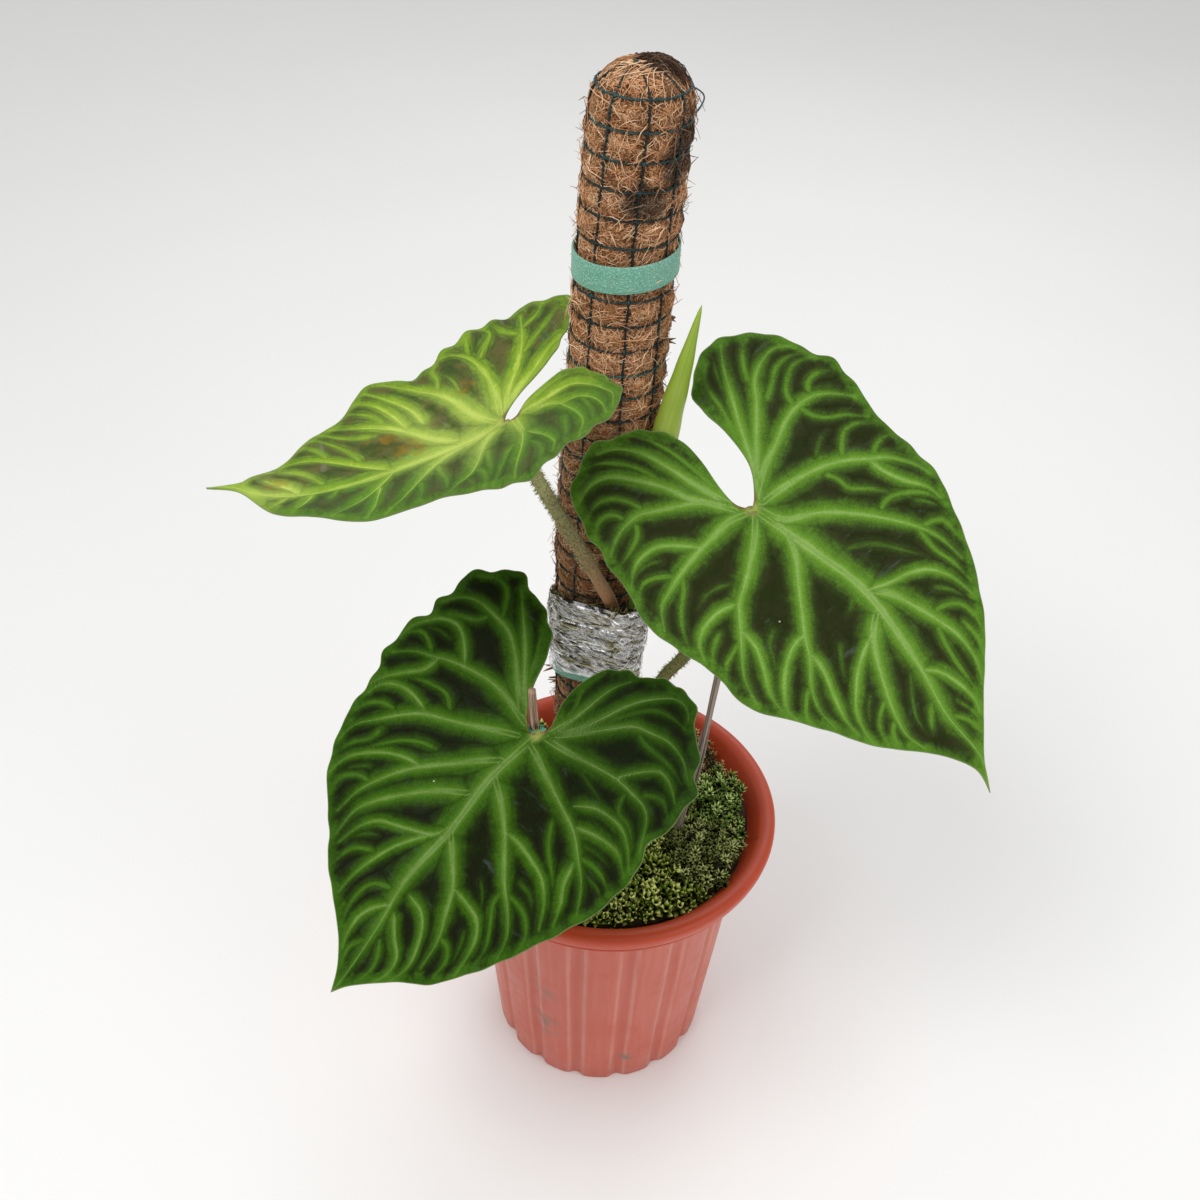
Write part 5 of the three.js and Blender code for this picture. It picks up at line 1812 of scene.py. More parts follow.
class VeinNet:
    """The veins of a blade: its midrib, large veins, arcs that leave them, and thin threads."""

    WIDTHS: ClassVar[dict[str, Triple]] = {
        "v": (3.1, 1.35, 0.96), "a": (1.5, 1.05, 0.64), "t": (1.25, 0.9, 0.4)}
    CHUNK: ClassVar[int] = 4000

    def __init__(self, form: LeafForm, outline: Points) -> None:
        """Lays the veins.

        Args:
            form: the leaf's shape.
            outline: the blade's closed outline in its plane.
        """
        self.outline = outline
        self.parts: list[Points] = []
        self._lay(even_points(flat_curve(form.midrib)[::-1], 90), 4.3, 1.7, 1.0)
        drawn = sorted((row.split() for row in form.veins.split(";")), key=lambda row: "vat".index(row[0]))
        for kind, *knots in drawn:
            line = flat_curve([[float(number) for number in knot.split(",")] for knot in knots])
            length = float(np.sum(np.linalg.norm(np.diff(line, axis=0), axis=1)))
            wide, narrow, strong = self.WIDTHS[kind]
            from_heart = float(np.linalg.norm(line[0])) < 16.0
            if kind == "v" and not from_heart and length <= 52:
                wide = 1.9
            self._lay(even_points(line, max(8, int(length / 2.0))), wide, narrow, strong)
            if kind == "v":
                self.large = sum(len(part) for part in self.parts)

    def _lay(self, line: Points, wide: float, narrow: float, strong: float) -> None:
        """Adds a vein as rows of start, end, half widths, length before, number and strength."""
        share = np.linspace(0.0, 1.0, len(line))
        width = narrow + (wide - narrow) * (1 - share) ** 1.1
        size = np.linalg.norm(np.diff(line, axis=0), axis=1)
        before = np.cumsum(size) - size
        number = np.full(len(size), float(len(self.parts)))
        place = (np.arange(len(size)) + 0.5) / len(size)
        force = strong * (1 - 0.5 * smooth(0.55, 1.0, place)) * (0.6 + 0.4 * smooth(0.0, 0.12, place))
        columns = [line[:-1], line[1:], width[:-1], width[1:], before, number, force]
        self.parts.append(np.column_stack(columns))

    @staticmethod
    def glow(reach: Points, force: Points) -> Points:
        """How green the blade is at a distance in half widths from a vein of some strength."""
        core, halo = np.clip((1.5 - reach) / 1.3, 0.0, 1.0), np.clip((3.9 - reach) / 3.8, 0.0, 1.0)
        return force * (0.42 * core + 0.58 * halo)

    def read(self, places: Points) -> dict[str, Points]:
        """Measures the veins from many places.

        Args:
            places: places in the blade's plane.

        Returns:
            For each place: reach, the distance in half widths to the vein that tells most; force, how
            strong that vein is; line, the distance to the nearest large vein with a sign for its side;
            fade, how wide that vein is; run, how far along the telling vein it lies; rim, the distance
            to the margin.
        """
        rows = np.vstack(self.parts).astype(np.float32)
        outline = self.outline.astype(np.float32)
        veins, edge = Segments(rows[:, :2], rows[:, 2:4]), Segments(outline, np.roll(outline, -1, axis=0))
        start_width, end_width, before, number, force = rows[:, 4:].T
        out = {k: np.zeros(len(places)) for k in ("reach", "force", "line", "fade", "run", "rim")}
        for low in range(0, len(places), self.CHUNK):
            part = slice(low, low + self.CHUNK)
            spots = places[part].astype(np.float32)
            t, gap, side = veins.measure(spots)
            width = start_width + (end_width - start_width) * t
            reach = np.sqrt(gap / (width * width))
            row = np.arange(len(spots))
            near = np.argmax(self.glow(reach, force) - 1e-3 * reach, axis=1)
            main = np.argmin(gap[:, :self.large], axis=1)
            out["line"][part] = np.where(side[row, main] < 0, -1.0, 1.0) * np.sqrt(gap[row, main])
            out["fade"][part] = (width[row, main] - 1.35) / 2.0
            out["reach"][part] = np.minimum(5.0, reach[row, near])
            out["force"][part] = force[near]
            out["run"][part] = before[near] + t[row, near] * np.sqrt(veins.size[near]) + number[near] * 53.0
            out["rim"][part] = np.sqrt(np.min(edge.measure(spots)[1], axis=1))
        return out


class Leaf:
    """One blade, as a thin quilted body with veins sunk into its face."""

    SINUS: ClassVar[float] = 13 / 20
    SHOULDER: ClassVar[float] = 0.6

    def __init__(self, form: LeafForm) -> None:
        """Prepares the leaf's frame and its lines."""
        self.form = form
        yaw, pitch, roll = (math.radians(a) for a in (form.yaw, form.pitch, form.roll))
        flat = math.cos(pitch)
        self.along = np.array([math.cos(yaw) * flat, math.sin(yaw) * flat, -math.sin(pitch)])
        level = np.array([math.sin(yaw), -math.cos(yaw), 0.0])
        up = np.cross(level, self.along)
        self.across = level * math.cos(roll) + up * math.sin(roll)
        self.up = np.cross(self.across, self.along)
        self.midrib = flat_curve(form.midrib)
        self.margins, self.lobes = {}, {}
        halves = {"right": (form.right, form.right_lobe), "left": (form.left, form.left_lobe)}
        for side, (margin, lobe) in halves.items():
            edges = self._rounded(flat_curve(margin), flat_curve(lobe), form.scallop)
            self.margins[side], self.lobes[side] = edges

    @staticmethod
    def _rounded(margin: Points, lobe: Points, scallop: float) -> tuple[Points, Points]:
        """Rounds the lobe's end, where its two edges meet, and waves the margin towards it.

        Args:
            margin: outer edge from the tip to the lobe's end.
            lobe: inner edge from the notch to the lobe's end.
            scallop: height of the waves.

        Returns:
            Both edges again.
        """
        outer, span = 240, 9
        first, last = even_points(margin, outer), even_points(lobe, 100)
        whole = np.vstack([first, last[-2::-1]])
        kernel = np.exp(-(np.arange(-span, span + 1) / 4.0) ** 2)
        kernel /= kernel.sum()
        padded = np.pad(whole, ((span, span), (0, 0)), mode="edge")
        soft = np.column_stack([np.convolve(padded[:, k], kernel, mode="valid") for k in (0, 1)])
        place = np.arange(len(whole))
        share = smooth(0, 40, place) * smooth(len(whole) - 1, len(whole) - 50, place)
        whole = whole + (soft - whole) * share[:, None]
        ahead = unit(np.gradient(whole, axis=0))
        beat = np.sin(place * 0.31 + 1.2 * np.sin(place * 0.067)) + 0.5 * np.sin(place * 0.53 + 2.0)
        end = smooth(300, 250, place)
        lobed = smooth(90, 210, place) * end + 0.3 * smooth(10, 60, place) * end
        whole = whole + np.column_stack([-ahead[:, 1], ahead[:, 0]]) * (scallop * beat * lobed)[:, None]
        return whole[:outer], whole[outer - 1:][::-1]

    def outline(self) -> Points:
        """Closed outline in the blade's plane."""
        r, l = self.margins["right"], self.margins["left"]
        ends = [even_points(r, 140), even_points(self.lobes["right"][::-1], 50)[1:],
                even_points(self.lobes["left"], 50)[1:], even_points(l[::-1], 140)[1:-1]]
        return np.vstack(ends)

    def plane(self, side: str, rows: int, columns: int) -> tuple[Points, Points, Points]:
        """Places of one half's grid in the blade's plane, with their row and column shares."""
        t = np.linspace(0.0, 1.0, rows + 1)
        front = t <= self.SINUS + 1e-9
        way = np.where(front, t / self.SINUS, (t - self.SINUS) / (1 - self.SINUS))
        way = np.clip(way, 0.0, 1.0)
        inner = np.where(front[:, None], share_points(self.midrib, way), share_points(self.lobes[side], way))
        share = np.where(front, self.SHOULDER * way, self.SHOULDER + (1 - self.SHOULDER) * way)
        outer = share_points(self.margins[side], share)
        e = np.linspace(0.0, 1.0, columns + 1)
        flat = inner[:, None] + (outer - inner)[:, None] * e[None, :, None]
        tt, ee = np.meshgrid(t, e, indexing="ij")
        return flat, tt, ee

    def height(self, flat: Points, t: Points, e: Points) -> Points:
        """Height of the blade over its plane."""
        f = self.form
        u, v = flat[..., 0], flat[..., 1]
        fade = np.exp(-np.maximum(u, 0.0) / f.fade) if f.fade else 1.0
        rise = (np.sqrt(v * v + f.softness ** 2) - f.softness) * fade
        bow = np.where(u > 0, -f.dip, f.lift) * u * u - f.arch * v * v
        pucker = 0.8 * np.sin(TURN * 5 * t) * e * (1 - e) * 4 * np.minimum(1.0, 5 * t)
        wave = f.ripple * e ** 3 * np.sin(TURN * 4.3 * t + f.yaw)
        wave = wave + 0.7 * smooth(0.45, 0.7, t) * e ** 4 * np.sin(TURN * 13.0 * t + 3 * np.sin(9 * t))
        return f.fold * rise + bow + pucker + wave * np.clip(np.minimum(6 * t, 6 * (1 - t)), 0.0, 1.0)

    def world(self, flat: Points, height: Points) -> Points:
        """Points in space for places on the blade."""
        return (np.array(self.form.stalk) + flat[..., :1] * self.along + flat[..., 1:2] * self.across
                + height[..., None] * self.up)

    def build(self, finish: BladeFinish) -> Piece:
        """Makes the blade.

        Args:
            finish: its finish.

        Returns:
            The blade, with an upper and an under face.
        """
        f = self.form
        net = VeinNet(f, self.outline())
        stock = Stock()
        starts, sizes = {}, {}
        for step in (1, 2):
            skin = grid_faces(f.rows // step + 1, f.columns // step + 1, closed=False)
            sizes[step] = len(skin)
            for side in ("right", "left"):
                starts[side, step] = stock.count
                corners, values = self._skin(net, side, step)
                turned = (side == "left") == (step == 1)
                stock.add(corners, [skin[:, ::-1] if turned else skin], **values)
        for side in ("right", "left"):
            self._bind(stock, starts[side, 1], starts[side, 2], side == "left")
        made = stock.piece(f.name, [finish.dress(), finish.dress_under()])
        slots = np.zeros(len(made.data.polygons), int)
        slots[2 * sizes[1]:2 * (sizes[1] + sizes[2])] = 1
        made.data.polygons.foreach_set("material_index", slots)
        Bench.clear()
        made.select_set(True)
        bpy.context.view_layer.objects.active = made
        bpy.ops.object.mode_set(mode="EDIT")
        bpy.ops.mesh.select_all(action="SELECT")
        bpy.ops.mesh.remove_doubles(threshold=2e-6)
        bpy.ops.object.mode_set(mode="OBJECT")
        Bench.clear()
        return made

    def _skin(self, net: VeinNet, side: str, step: int) -> tuple[Points, dict[str, Points]]:
        """Models one half's upper face, or its under face on every second row and column.

        Args:
            net: the blade's veins.
            side: which half.
            step: 1 for the upper face, 2 for the under face.

        Returns:
            The corners in space, and what they carry for the finish.
        """
        flat, t, e = self.plane(side, self.form.rows // step, self.form.columns // step)
        seen = net.read(flat.reshape(-1, 2))
        glow = VeinNet.glow(seen["reach"], seen["force"])
        groove = 0.3 * np.exp(-(seen["line"] ** 2)) * smooth(0.2, 2.0, seen["rim"])
        quilt = (1 - glow) * smooth(0.3, 4.0, seen["rim"]) * 1.2 - groove
        height = self.height(flat, t, e) + quilt.reshape(t.shape)
        if step == 2:
            rib = np.exp(-((np.linalg.norm(flat - flat[:, :1], axis=-1) / 3.0) ** 2)) * (t <= self.SINUS)
            height = height - 0.55 - 1.5 * rib * np.minimum(1.0, 0.2 + 2 * t)
            height = height - (0.5 * glow ** 2 * smooth(0.5, 4.0, seen["rim"])).reshape(t.shape)
        plane = np.concatenate([flat, np.zeros_like(flat[..., :1])], axis=-1).reshape(-1, 3)
        return self.world(flat, height).reshape(-1, 3), {"plane": plane, **seen}

    def _bind(self, stock: Stock, top: int, under: int, flip: bool) -> None:
        """Joins the fine upper grid to the coarser lower one along the margin and the notch."""
        f = self.form
        wide, narrow = f.columns + 1, f.columns // 2 + 1
        sinus = round(self.SINUS * f.rows)
        made = []

        def strip(column: int, low: int, reverse: bool) -> None:
            """Adds the faces between two upper edges and one lower edge, row by row."""
            for r in range(low, f.rows, 2):
                a, b, c = (top + (r + k) * wide + column for k in range(3))
                d = under + (r // 2) * narrow + column // 2
                e = d + narrow
                rows = [[a, b, d], [b, e, d], [b, c, e]]
                made.extend([row[::-1] if reverse else row for row in rows])

        strip(f.columns, 0, flip)
        strip(0, sinus, not flip)
        stock.faces.append(np.array(made))


@dataclass
class Stalk:
    """Round leaf stalk with bristles."""

    name: str
    path: Path
    radius: float
    bristles: int
    bare: float = 0.0

    def build(self, finish: Material) -> Piece:
        """Makes the stalk: a ring of corners carried along its path, and the bristles on it."""
        draw = np.random.default_rng(len(self.name) + self.bristles)
        steps, side = 70, np.array([0.3, 1.0, 0.1])
        line = even_points(stalk_curve(self.path), steps)
        share = np.linspace(0.0, 1.0, steps)
        radius = self.radius * (1.06 - 0.16 * share) * (1 + 0.03 * np.sin(share * 37))
        stock = Stock()
        strand(stock, line, radius, side, 18, rise=share[None], hair=0.0)
        at = self.bare + (1 - self.bare) * draw.random(self.bristles)
        at = np.where(draw.random(self.bristles) < 0.12, draw.random(self.bristles), at)
        base = share_points(line, at)
        above, below = (share_points(line, np.clip(at + step, 0, 1)) for step in (0.01, -0.01))
        ahead = unit(above - below)
        first = unit(np.cross(ahead, side))
        second = np.cross(ahead, first)
        turn = draw.uniform(0, TURN, self.bristles)[:, None]
        out = np.cos(turn) * first + np.sin(turn) * second
        reach = draw.uniform(0.7, 1.9, self.bristles)[:, None]
        lean = ahead * draw.normal(-0.35, 0.3, self.bristles)[:, None]
        root = base + out * np.interp(at, share, radius)[:, None] * 0.97
        tip = root + unit(out + lean) * reach
        lines = np.stack([root, root * 0.45 + tip * 0.55, tip], axis=1)
        away = np.repeat(ahead[:, None], 3, axis=1)
        thick = np.array([0.17, 0.13, 0.03]) * np.ones((self.bristles, 1))
        strands(stock, lines, thick, away, 3, rise=at[:, None], hair=[[0.45, 0.8, 1.0]])
        return stock.piece(self.name, [finish])


@dataclass
class Spear:
    """The rolled new leaf: one edge laps over the other all the way up."""

    path: Path = ((6.4, 7.7, 272.8), (7.2, 8.2, 293), (11.2, 14.2, 335), (15.4, 21, 380), (20.2, 20, 410),
                  (24.6, 18, 438))
    girth: Flat = ((0, 2.5), (0.12, 3.5), (0.3, 4.9), (0.5, 5.6), (0.65, 5.7), (0.82, 3.9), (1, 0.8))

    def build(self, finish: Material) -> Piece:
        """Makes the spear."""
        rows, around = 90, 56
        line = even_points(stalk_curve(self.path), rows)
        line = np.vstack([line, line[-1] + [0.5, -0.2, 3.0]])
        share = np.append(np.linspace(0.0, 1.0, rows), 1.0)
        knots = flat_curve(self.girth)
        radius = np.interp(share, knots[:, 0], knots[:, 1])
        radius[-1] = 0.12
        turn = np.arange(around) / around
        seam = 3.6 + share * 1.2
        angle = seam[:, None] + turn[None] * TURN
        lap = 0.93 + 0.13 * turn
        lap[0] = 0.97
        wave = 0.02 * np.sin(share * 60)[:, None]
        reach = radius[:, None] * (lap + wave)
        ring = np.stack([np.cos(angle) * reach, np.sin(angle) * reach, np.zeros_like(angle)], axis=-1)
        corners = (line[:, None] + ring).reshape(-1, 3)
        ends = np.stack([line[0], line[-1] + [0.0, 0.0, 0.3]])
        rise = np.concatenate([np.repeat(share, around), [0.0, 1.0]])
        turned = np.concatenate([np.tile(np.abs(turn - 0.5) * 2, rows + 1), [0.5, 0.5]])
        stock = Stock()
        faces = [grid_faces(rows + 1, around), *cap_faces(rows + 1, around)]
        stock.add(np.vstack([corners, ends]), faces, rise=rise, turn=turned)
        return stock.piece("new_leaf_spear", [finish])


@dataclass
class Cane:
    """Thin support cane, with split strips where it has frayed."""

    name: str
    path: Path
    radius: float
    strips: tuple[tuple[float, float, float, float], ...]

    def build(self, finish: Material) -> Piece:
        """Makes the cane and its strips."""
        rows, around = 90, 14
        line = even_points(stalk_curve(self.path), rows)
        share = np.linspace(0.0, 1.0, rows)
        ahead = unit(np.gradient(line, axis=0))
        first = unit(np.cross(ahead, [0.2, 1.0, 0.0]))
        second = np.cross(ahead, first)
        turn = compass(around)
        groove = 1 - 0.16 * np.exp(-(((turn - 4.4) / 0.35) ** 2)) + 0.03 * np.sin(turn * 5)
        reach = self.radius * groove[None] * (1 + 0.05 * np.sin(share * 23))[:, None]
        ring = line[:, None] + reach[..., None] * (
            np.cos(turn)[None, :, None] * first[:, None] + np.sin(turn)[None, :, None] * second[:, None])
        faces = [part[:, ::-1] for part in (grid_faces(rows, around), *cap_faces(rows, around))]
        rise = np.concatenate([np.repeat(share, around), [0.0, 1.0]])
        turned = np.concatenate([np.tile(turn, rows), [0.0, 0.0]])
        stock = Stock()
        stock.add(np.vstack([ring.reshape(-1, 3), line[:1], line[-1:]]), faces, rise=rise, turn=turned)
        for strip in self.strips:
            self._strip(stock, line, *strip)
        return stock.piece(self.name, [finish])

    def _strip(self, stock: Stock, line: Points, low: float, high: float, direction: float,
               spread: float) -> None:
        """Adds one split strip that stands off the cane between two shares of its length."""
        steps = 16
        share = np.linspace(low, high, steps)
        out = np.array([math.cos(math.radians(direction)), math.sin(math.radians(direction)), 0.0])
        bow = np.sin(np.linspace(0.15, math.pi * 0.9, steps))[:, None]
        strip = share_points(line, share) + out * (self.radius * 0.75 + spread * bow)
        thick = 0.62 * np.sin(np.linspace(0.25, math.pi - 0.12, steps))
        strand(stock, strip, thick, out, 5, rise=share[None], turn=direction / 57.0)


# Colours, outlines and vein lines of the three blades, then the lines of the stalks, the stem and the canes.

DARK_LEAF = LeafColours(("222a09", "2e3c14", "405e1b", "567e24", "699330", "88aa56"),
                        "91ad6a", "477c14", "55683a")
DEEP_LEAF = LeafColours(("111b00", "1d3100", "2b4b03", "3c630f", "527722", "6f8e46"),
                        "7c9857", "2e5f03", "4a6034", "140703",
                        shades=((-24.0, -46.0, 62.0),))
LIGHT_LEAF = LeafColours(("3e4e22", "506526", "63822a", "79972c", "8eac32", "b0c754"),
                         "c0d06a", "72952e", "7d8a4c", "665f34",
                         sheen="8c9482", lower=0.75, crisp=0.8, patch=0.75,
                         spots=((46.0, 17.0, 9.0), (38.0, 6.0, 10.0), (4.0, 28.0, 7.0), (90.0, 5.0, 8.0)),
                         glows=((20.0, 6.0, 46.0), (92.0, 4.0, 22.0)))

LEAF_HIGH = LeafForm(
    "blade_high", (-50.6, -13.7, 403.0), 207.7, 14.0, -8.5, 0.216, -0.00154, 0.0001, 10.0, 1.3,
    midrib=((114, 14), (105, 11), (96, 1), (77, -6), (45, -5), (11, -3), (0, 0)),
    right=((114, 14), (102, 13), (97, 17), (84, 23), (67, 35), (53, 46), (41, 56), (30, 57), (21, 52),
           (9, 55), (-4, 58), (-14, 62), (-30, 60), (-45, 56), (-55, 49)),
    right_lobe=((0, 0), (-4, 6), (-13, 13), (-25, 19), (-37, 26), (-48, 36), (-55, 49)),
    left=((114, 14), (104, 7), (97, -11), (85, -26), (71, -37), (58, -39), (45, -44), (31, -47), (20, -52),
          (8, -60), (-3, -54), (-16, -47), (-30, -41), (-40, -33), (-43, -14)),
    left_lobe=((0, 0), (-5, 0), (-13, 7), (-24, 11), (-34, 12), (-41, 3), (-43, -14)),
    veins="""
a -6,2 -16,6 -28,8 -36,5; v -8,0 -20,2 -31,1 -36,-7 -38,-17 -38,-27 -34,-36;
v -10,-1 -18,-2 -23,-8 -29,-12 -32,-20 -32,-30 -30,-38; v -22,-8 -23,-17 -23,-27 -21,-36 -15,-46;
a -19,-20 -16,-29 -13,-38 -9,-47; a -29,-14 -28,-24 -26,-34 -23,-41;
v -4,-1 -3,-10 -1,-20 3,-30 7,-38 11,-46 14,-53; v -4,-18 -7,-25 -8,-33 -7,-41 -3,-49;
a 0,-28 -2,-36 0,-46 5,-56; a 2,-25 8,-30 13,-37 18,-44 22,-49;
v 3,-2 10,-8 15,-15 20,-24 25,-31 31,-36 36,-42; a 14,-18 16,-28 18,-36 21,-44;
a 23,-29 21,-35 22,-42 25,-49; t 28,-33 27,-42 29,-47; v 14,-3 24,-6 32,-11 39,-18 45,-25 52,-32 60,-37;
a 33,-13 34,-22 34,-30 37,-41; a 43,-23 44,-31 47,-40; v 48,-5 54,-11 61,-17 69,-23 78,-30;
v 56,-14 59,-21 62,-28 67,-36; a 68,-6 72,-11 76,-18; v 80,-7 83,-12 90,-18; a 87,-4 92,-7 97,-9;
v -3,5 -12,15 -22,21 -32,27 -41,31; v -3,5 -10,18 -19,29 -27,40 -33,54; a -18,30 -30,36 -40,42 -49,48;
a -29,46 -38,49 -44,54; a -27,44 -23,50 -21,57; v -1,6 -4,16 -6,28 -6,40 -3,48 5,53;
a -7,42 -13,48 -18,54 -16,60; a -5,48 -7,54 -10,60; v 3,2 8,12 11,24 15,34 21,42 28,50 34,55;
a 15,35 12,42 12,48 8,53; t 8,26 7,36 9,44; v 20,0 28,9 36,20 45,28 54,35 61,38;
v 27,21 28,32 33,42 41,52; v 34,21 36,32 40,42 47,49; a 41,27 44,36 51,44; a 47,22 58,29 67,35;
v 48,-4 55,4 64,12 74,17 85,21; a 57,9 59,18 64,26 71,31; a 68,15 70,22 75,27; a 74,-3 78,7 84,14 91,18;
v 84,-4 87,4 93,11""",
    fade=90.0, lift=0.002, columns=56)

LEAF_RIGHT = LeafForm(
    "blade_right", (51.6, -9.8, 363.1), -39.3, 26.7, -24.2, 0.217, 0.00028, 0.00019, 12.0, 1.4,
    midrib=((150, 5), (137, -2), (115, -3), (93, -8), (58, -12), (33, -8), (16, -4), (0, 0)),
    right=((150, 5), (139, 3), (124, 12), (108, 27), (94, 37), (75, 50), (60, 60), (46, 61), (28, 65),
           (13, 69), (-3, 66), (-22, 64), (-42, 60), (-55, 52), (-63, 34)),
    right_lobe=((0, 0), (-6, 4), (-16, 4), (-30, 2), (-43, 3), (-55, 12), (-63, 34)),
    left=((150, 5), (138, -3), (121, -18), (104, -35), (87, -46), (70, -56), (50, -63), (33, -66), (12, -65),
          (-6, -66), (-22, -67), (-37, -61), (-50, -57), (-58, -47), (-66, -37)),
    left_lobe=((0, 0), (-4, -5), (-15, -12), (-32, -14), (-50, -13), (-60, -21), (-66, -37)),
    veins="""
v 0,-3 -12,-12 -25,-18 -40,-25 -52,-31 -61,-37; a -15,-13 -27,-16 -40,-19 -52,-21 -59,-27;
v -4,-6 -15,-16 -25,-25 -33,-32 -40,-37 -44,-44 -45,-52 -41,-58; a -40,-34 -48,-38 -54,-43 -55,-46;
t -44,-24 -52,-27 -59,-31; a -30,-34 -34,-41 -38,-47 -38,-54 -35,-59;
v -4,-7 -10,-16 -14,-26 -18,-34 -20,-42 -19,-50 -15,-56 -7,-63;
a -20,-42 -27,-43 -32,-48 -34,-54 -31,-61; a -20,-50 -24,-52 -25,-57 -22,-62;
a -20,-43 -13,-45 -8,-49 -4,-55 3,-61; v 1,-5 2,-17 5,-30 10,-41 17,-50 22,-56 30,-61 38,-63;
a 10,-41 5,-45 1,-50 2,-56 7,-61; a 17,-51 14,-56 14,-62; t 2,-33 -3,-40 -4,-45;
a 8,-31 14,-34 20,-35 23,-38 27,-42 34,-47; v 18,-49 26,-51 33,-54 41,-59 48,-60;
v 2,-2 12,-7 19,-19 28,-29 39,-38 50,-45 60,-49 72,-50; a 36,-38 34,-44 37,-51 43,-57 52,-60;
a 52,-46 53,-51 56,-55 66,-55; a 51,-45 62,-44 71,-46 82,-46; t 38,-16 40,-21 45,-28 54,-34 63,-40;
t 42,-52 46,-55 50,-57; v 56,-12 60,-21 63,-31 68,-38 76,-42 86,-43;
v 57,-13 64,-19 74,-23 84,-26 95,-28 106,-27 114,-24; a 81,-26 82,-32 86,-37 93,-38 102,-36;
t 74,-34 79,-38 85,-40; a 92,-33 101,-33 110,-30; a 85,-25 92,-22 101,-20 112,-19 118,-18;
v 95,-7 100,-12 108,-15 117,-16 123,-14; a 117,-4 122,-8 129,-9; t 114,-10 121,-12 127,-11;
a -12,6 -24,7 -37,9 -48,13 -57,19; v -8,6 -22,11 -35,15 -47,20 -55,27 -58,35;
v -8,8 -19,17 -29,22 -39,30 -47,38 -49,47 -46,56; a -28,22 -38,24 -47,29 -54,37 -56,44;
v -4,6 -15,14 -20,23 -24,32 -27,39 -27,47 -25,54 -21,61; a -27,37 -33,39 -39,44 -41,51 -38,59;
a -28,46 -33,48 -35,53 -33,58 -29,62; a -26,43 -21,46 -18,52 -15,61;
v 0,4 -2,12 -1,23 0,32 2,42 5,52 8,59 16,65; v -1,29 -7,35 -12,42 -13,50 -11,57 -6,63;
a 1,47 -3,53 -4,59 0,64; a 3,43 9,48 14,54 20,59 27,62; t -7,46 -9,52 -8,58;
v 3,1 10,8 16,16 22,25 27,33 34,39 42,46 51,53 61,56; v 26,34 24,42 25,51 29,58 35,61;
t 18,31 16,37 16,43 18,49; a 31,49 34,55 39,60; a 38,43 40,49 42,55 47,60;
v 35,40 44,40 53,44 62,49 70,50; v 8,-2 17,-4 27,0 36,7 45,14 54,21 62,26 71,34 80,38 88,38;
v 53,21 54,28 58,36 64,43 71,48 77,48; v 61,24 70,25 80,29 89,32 97,32; t 44,30 47,35 54,39 62,44;
a 70,34 73,39 78,44 83,45; v 66,-9 72,-2 81,4 92,10 101,14 111,16 119,14;
v 71,-2 75,7 79,14 84,20 90,26 98,29 106,29; a 94,12 97,19 101,23 108,25; t 66,12 71,16 78,21;
t 89,17 93,22 100,27; a 103,16 106,20 112,22; t 92,-4 100,3 108,8 117,9; a 108,-1 112,3 117,7;
t 53,-8 57,-3 59,1""")

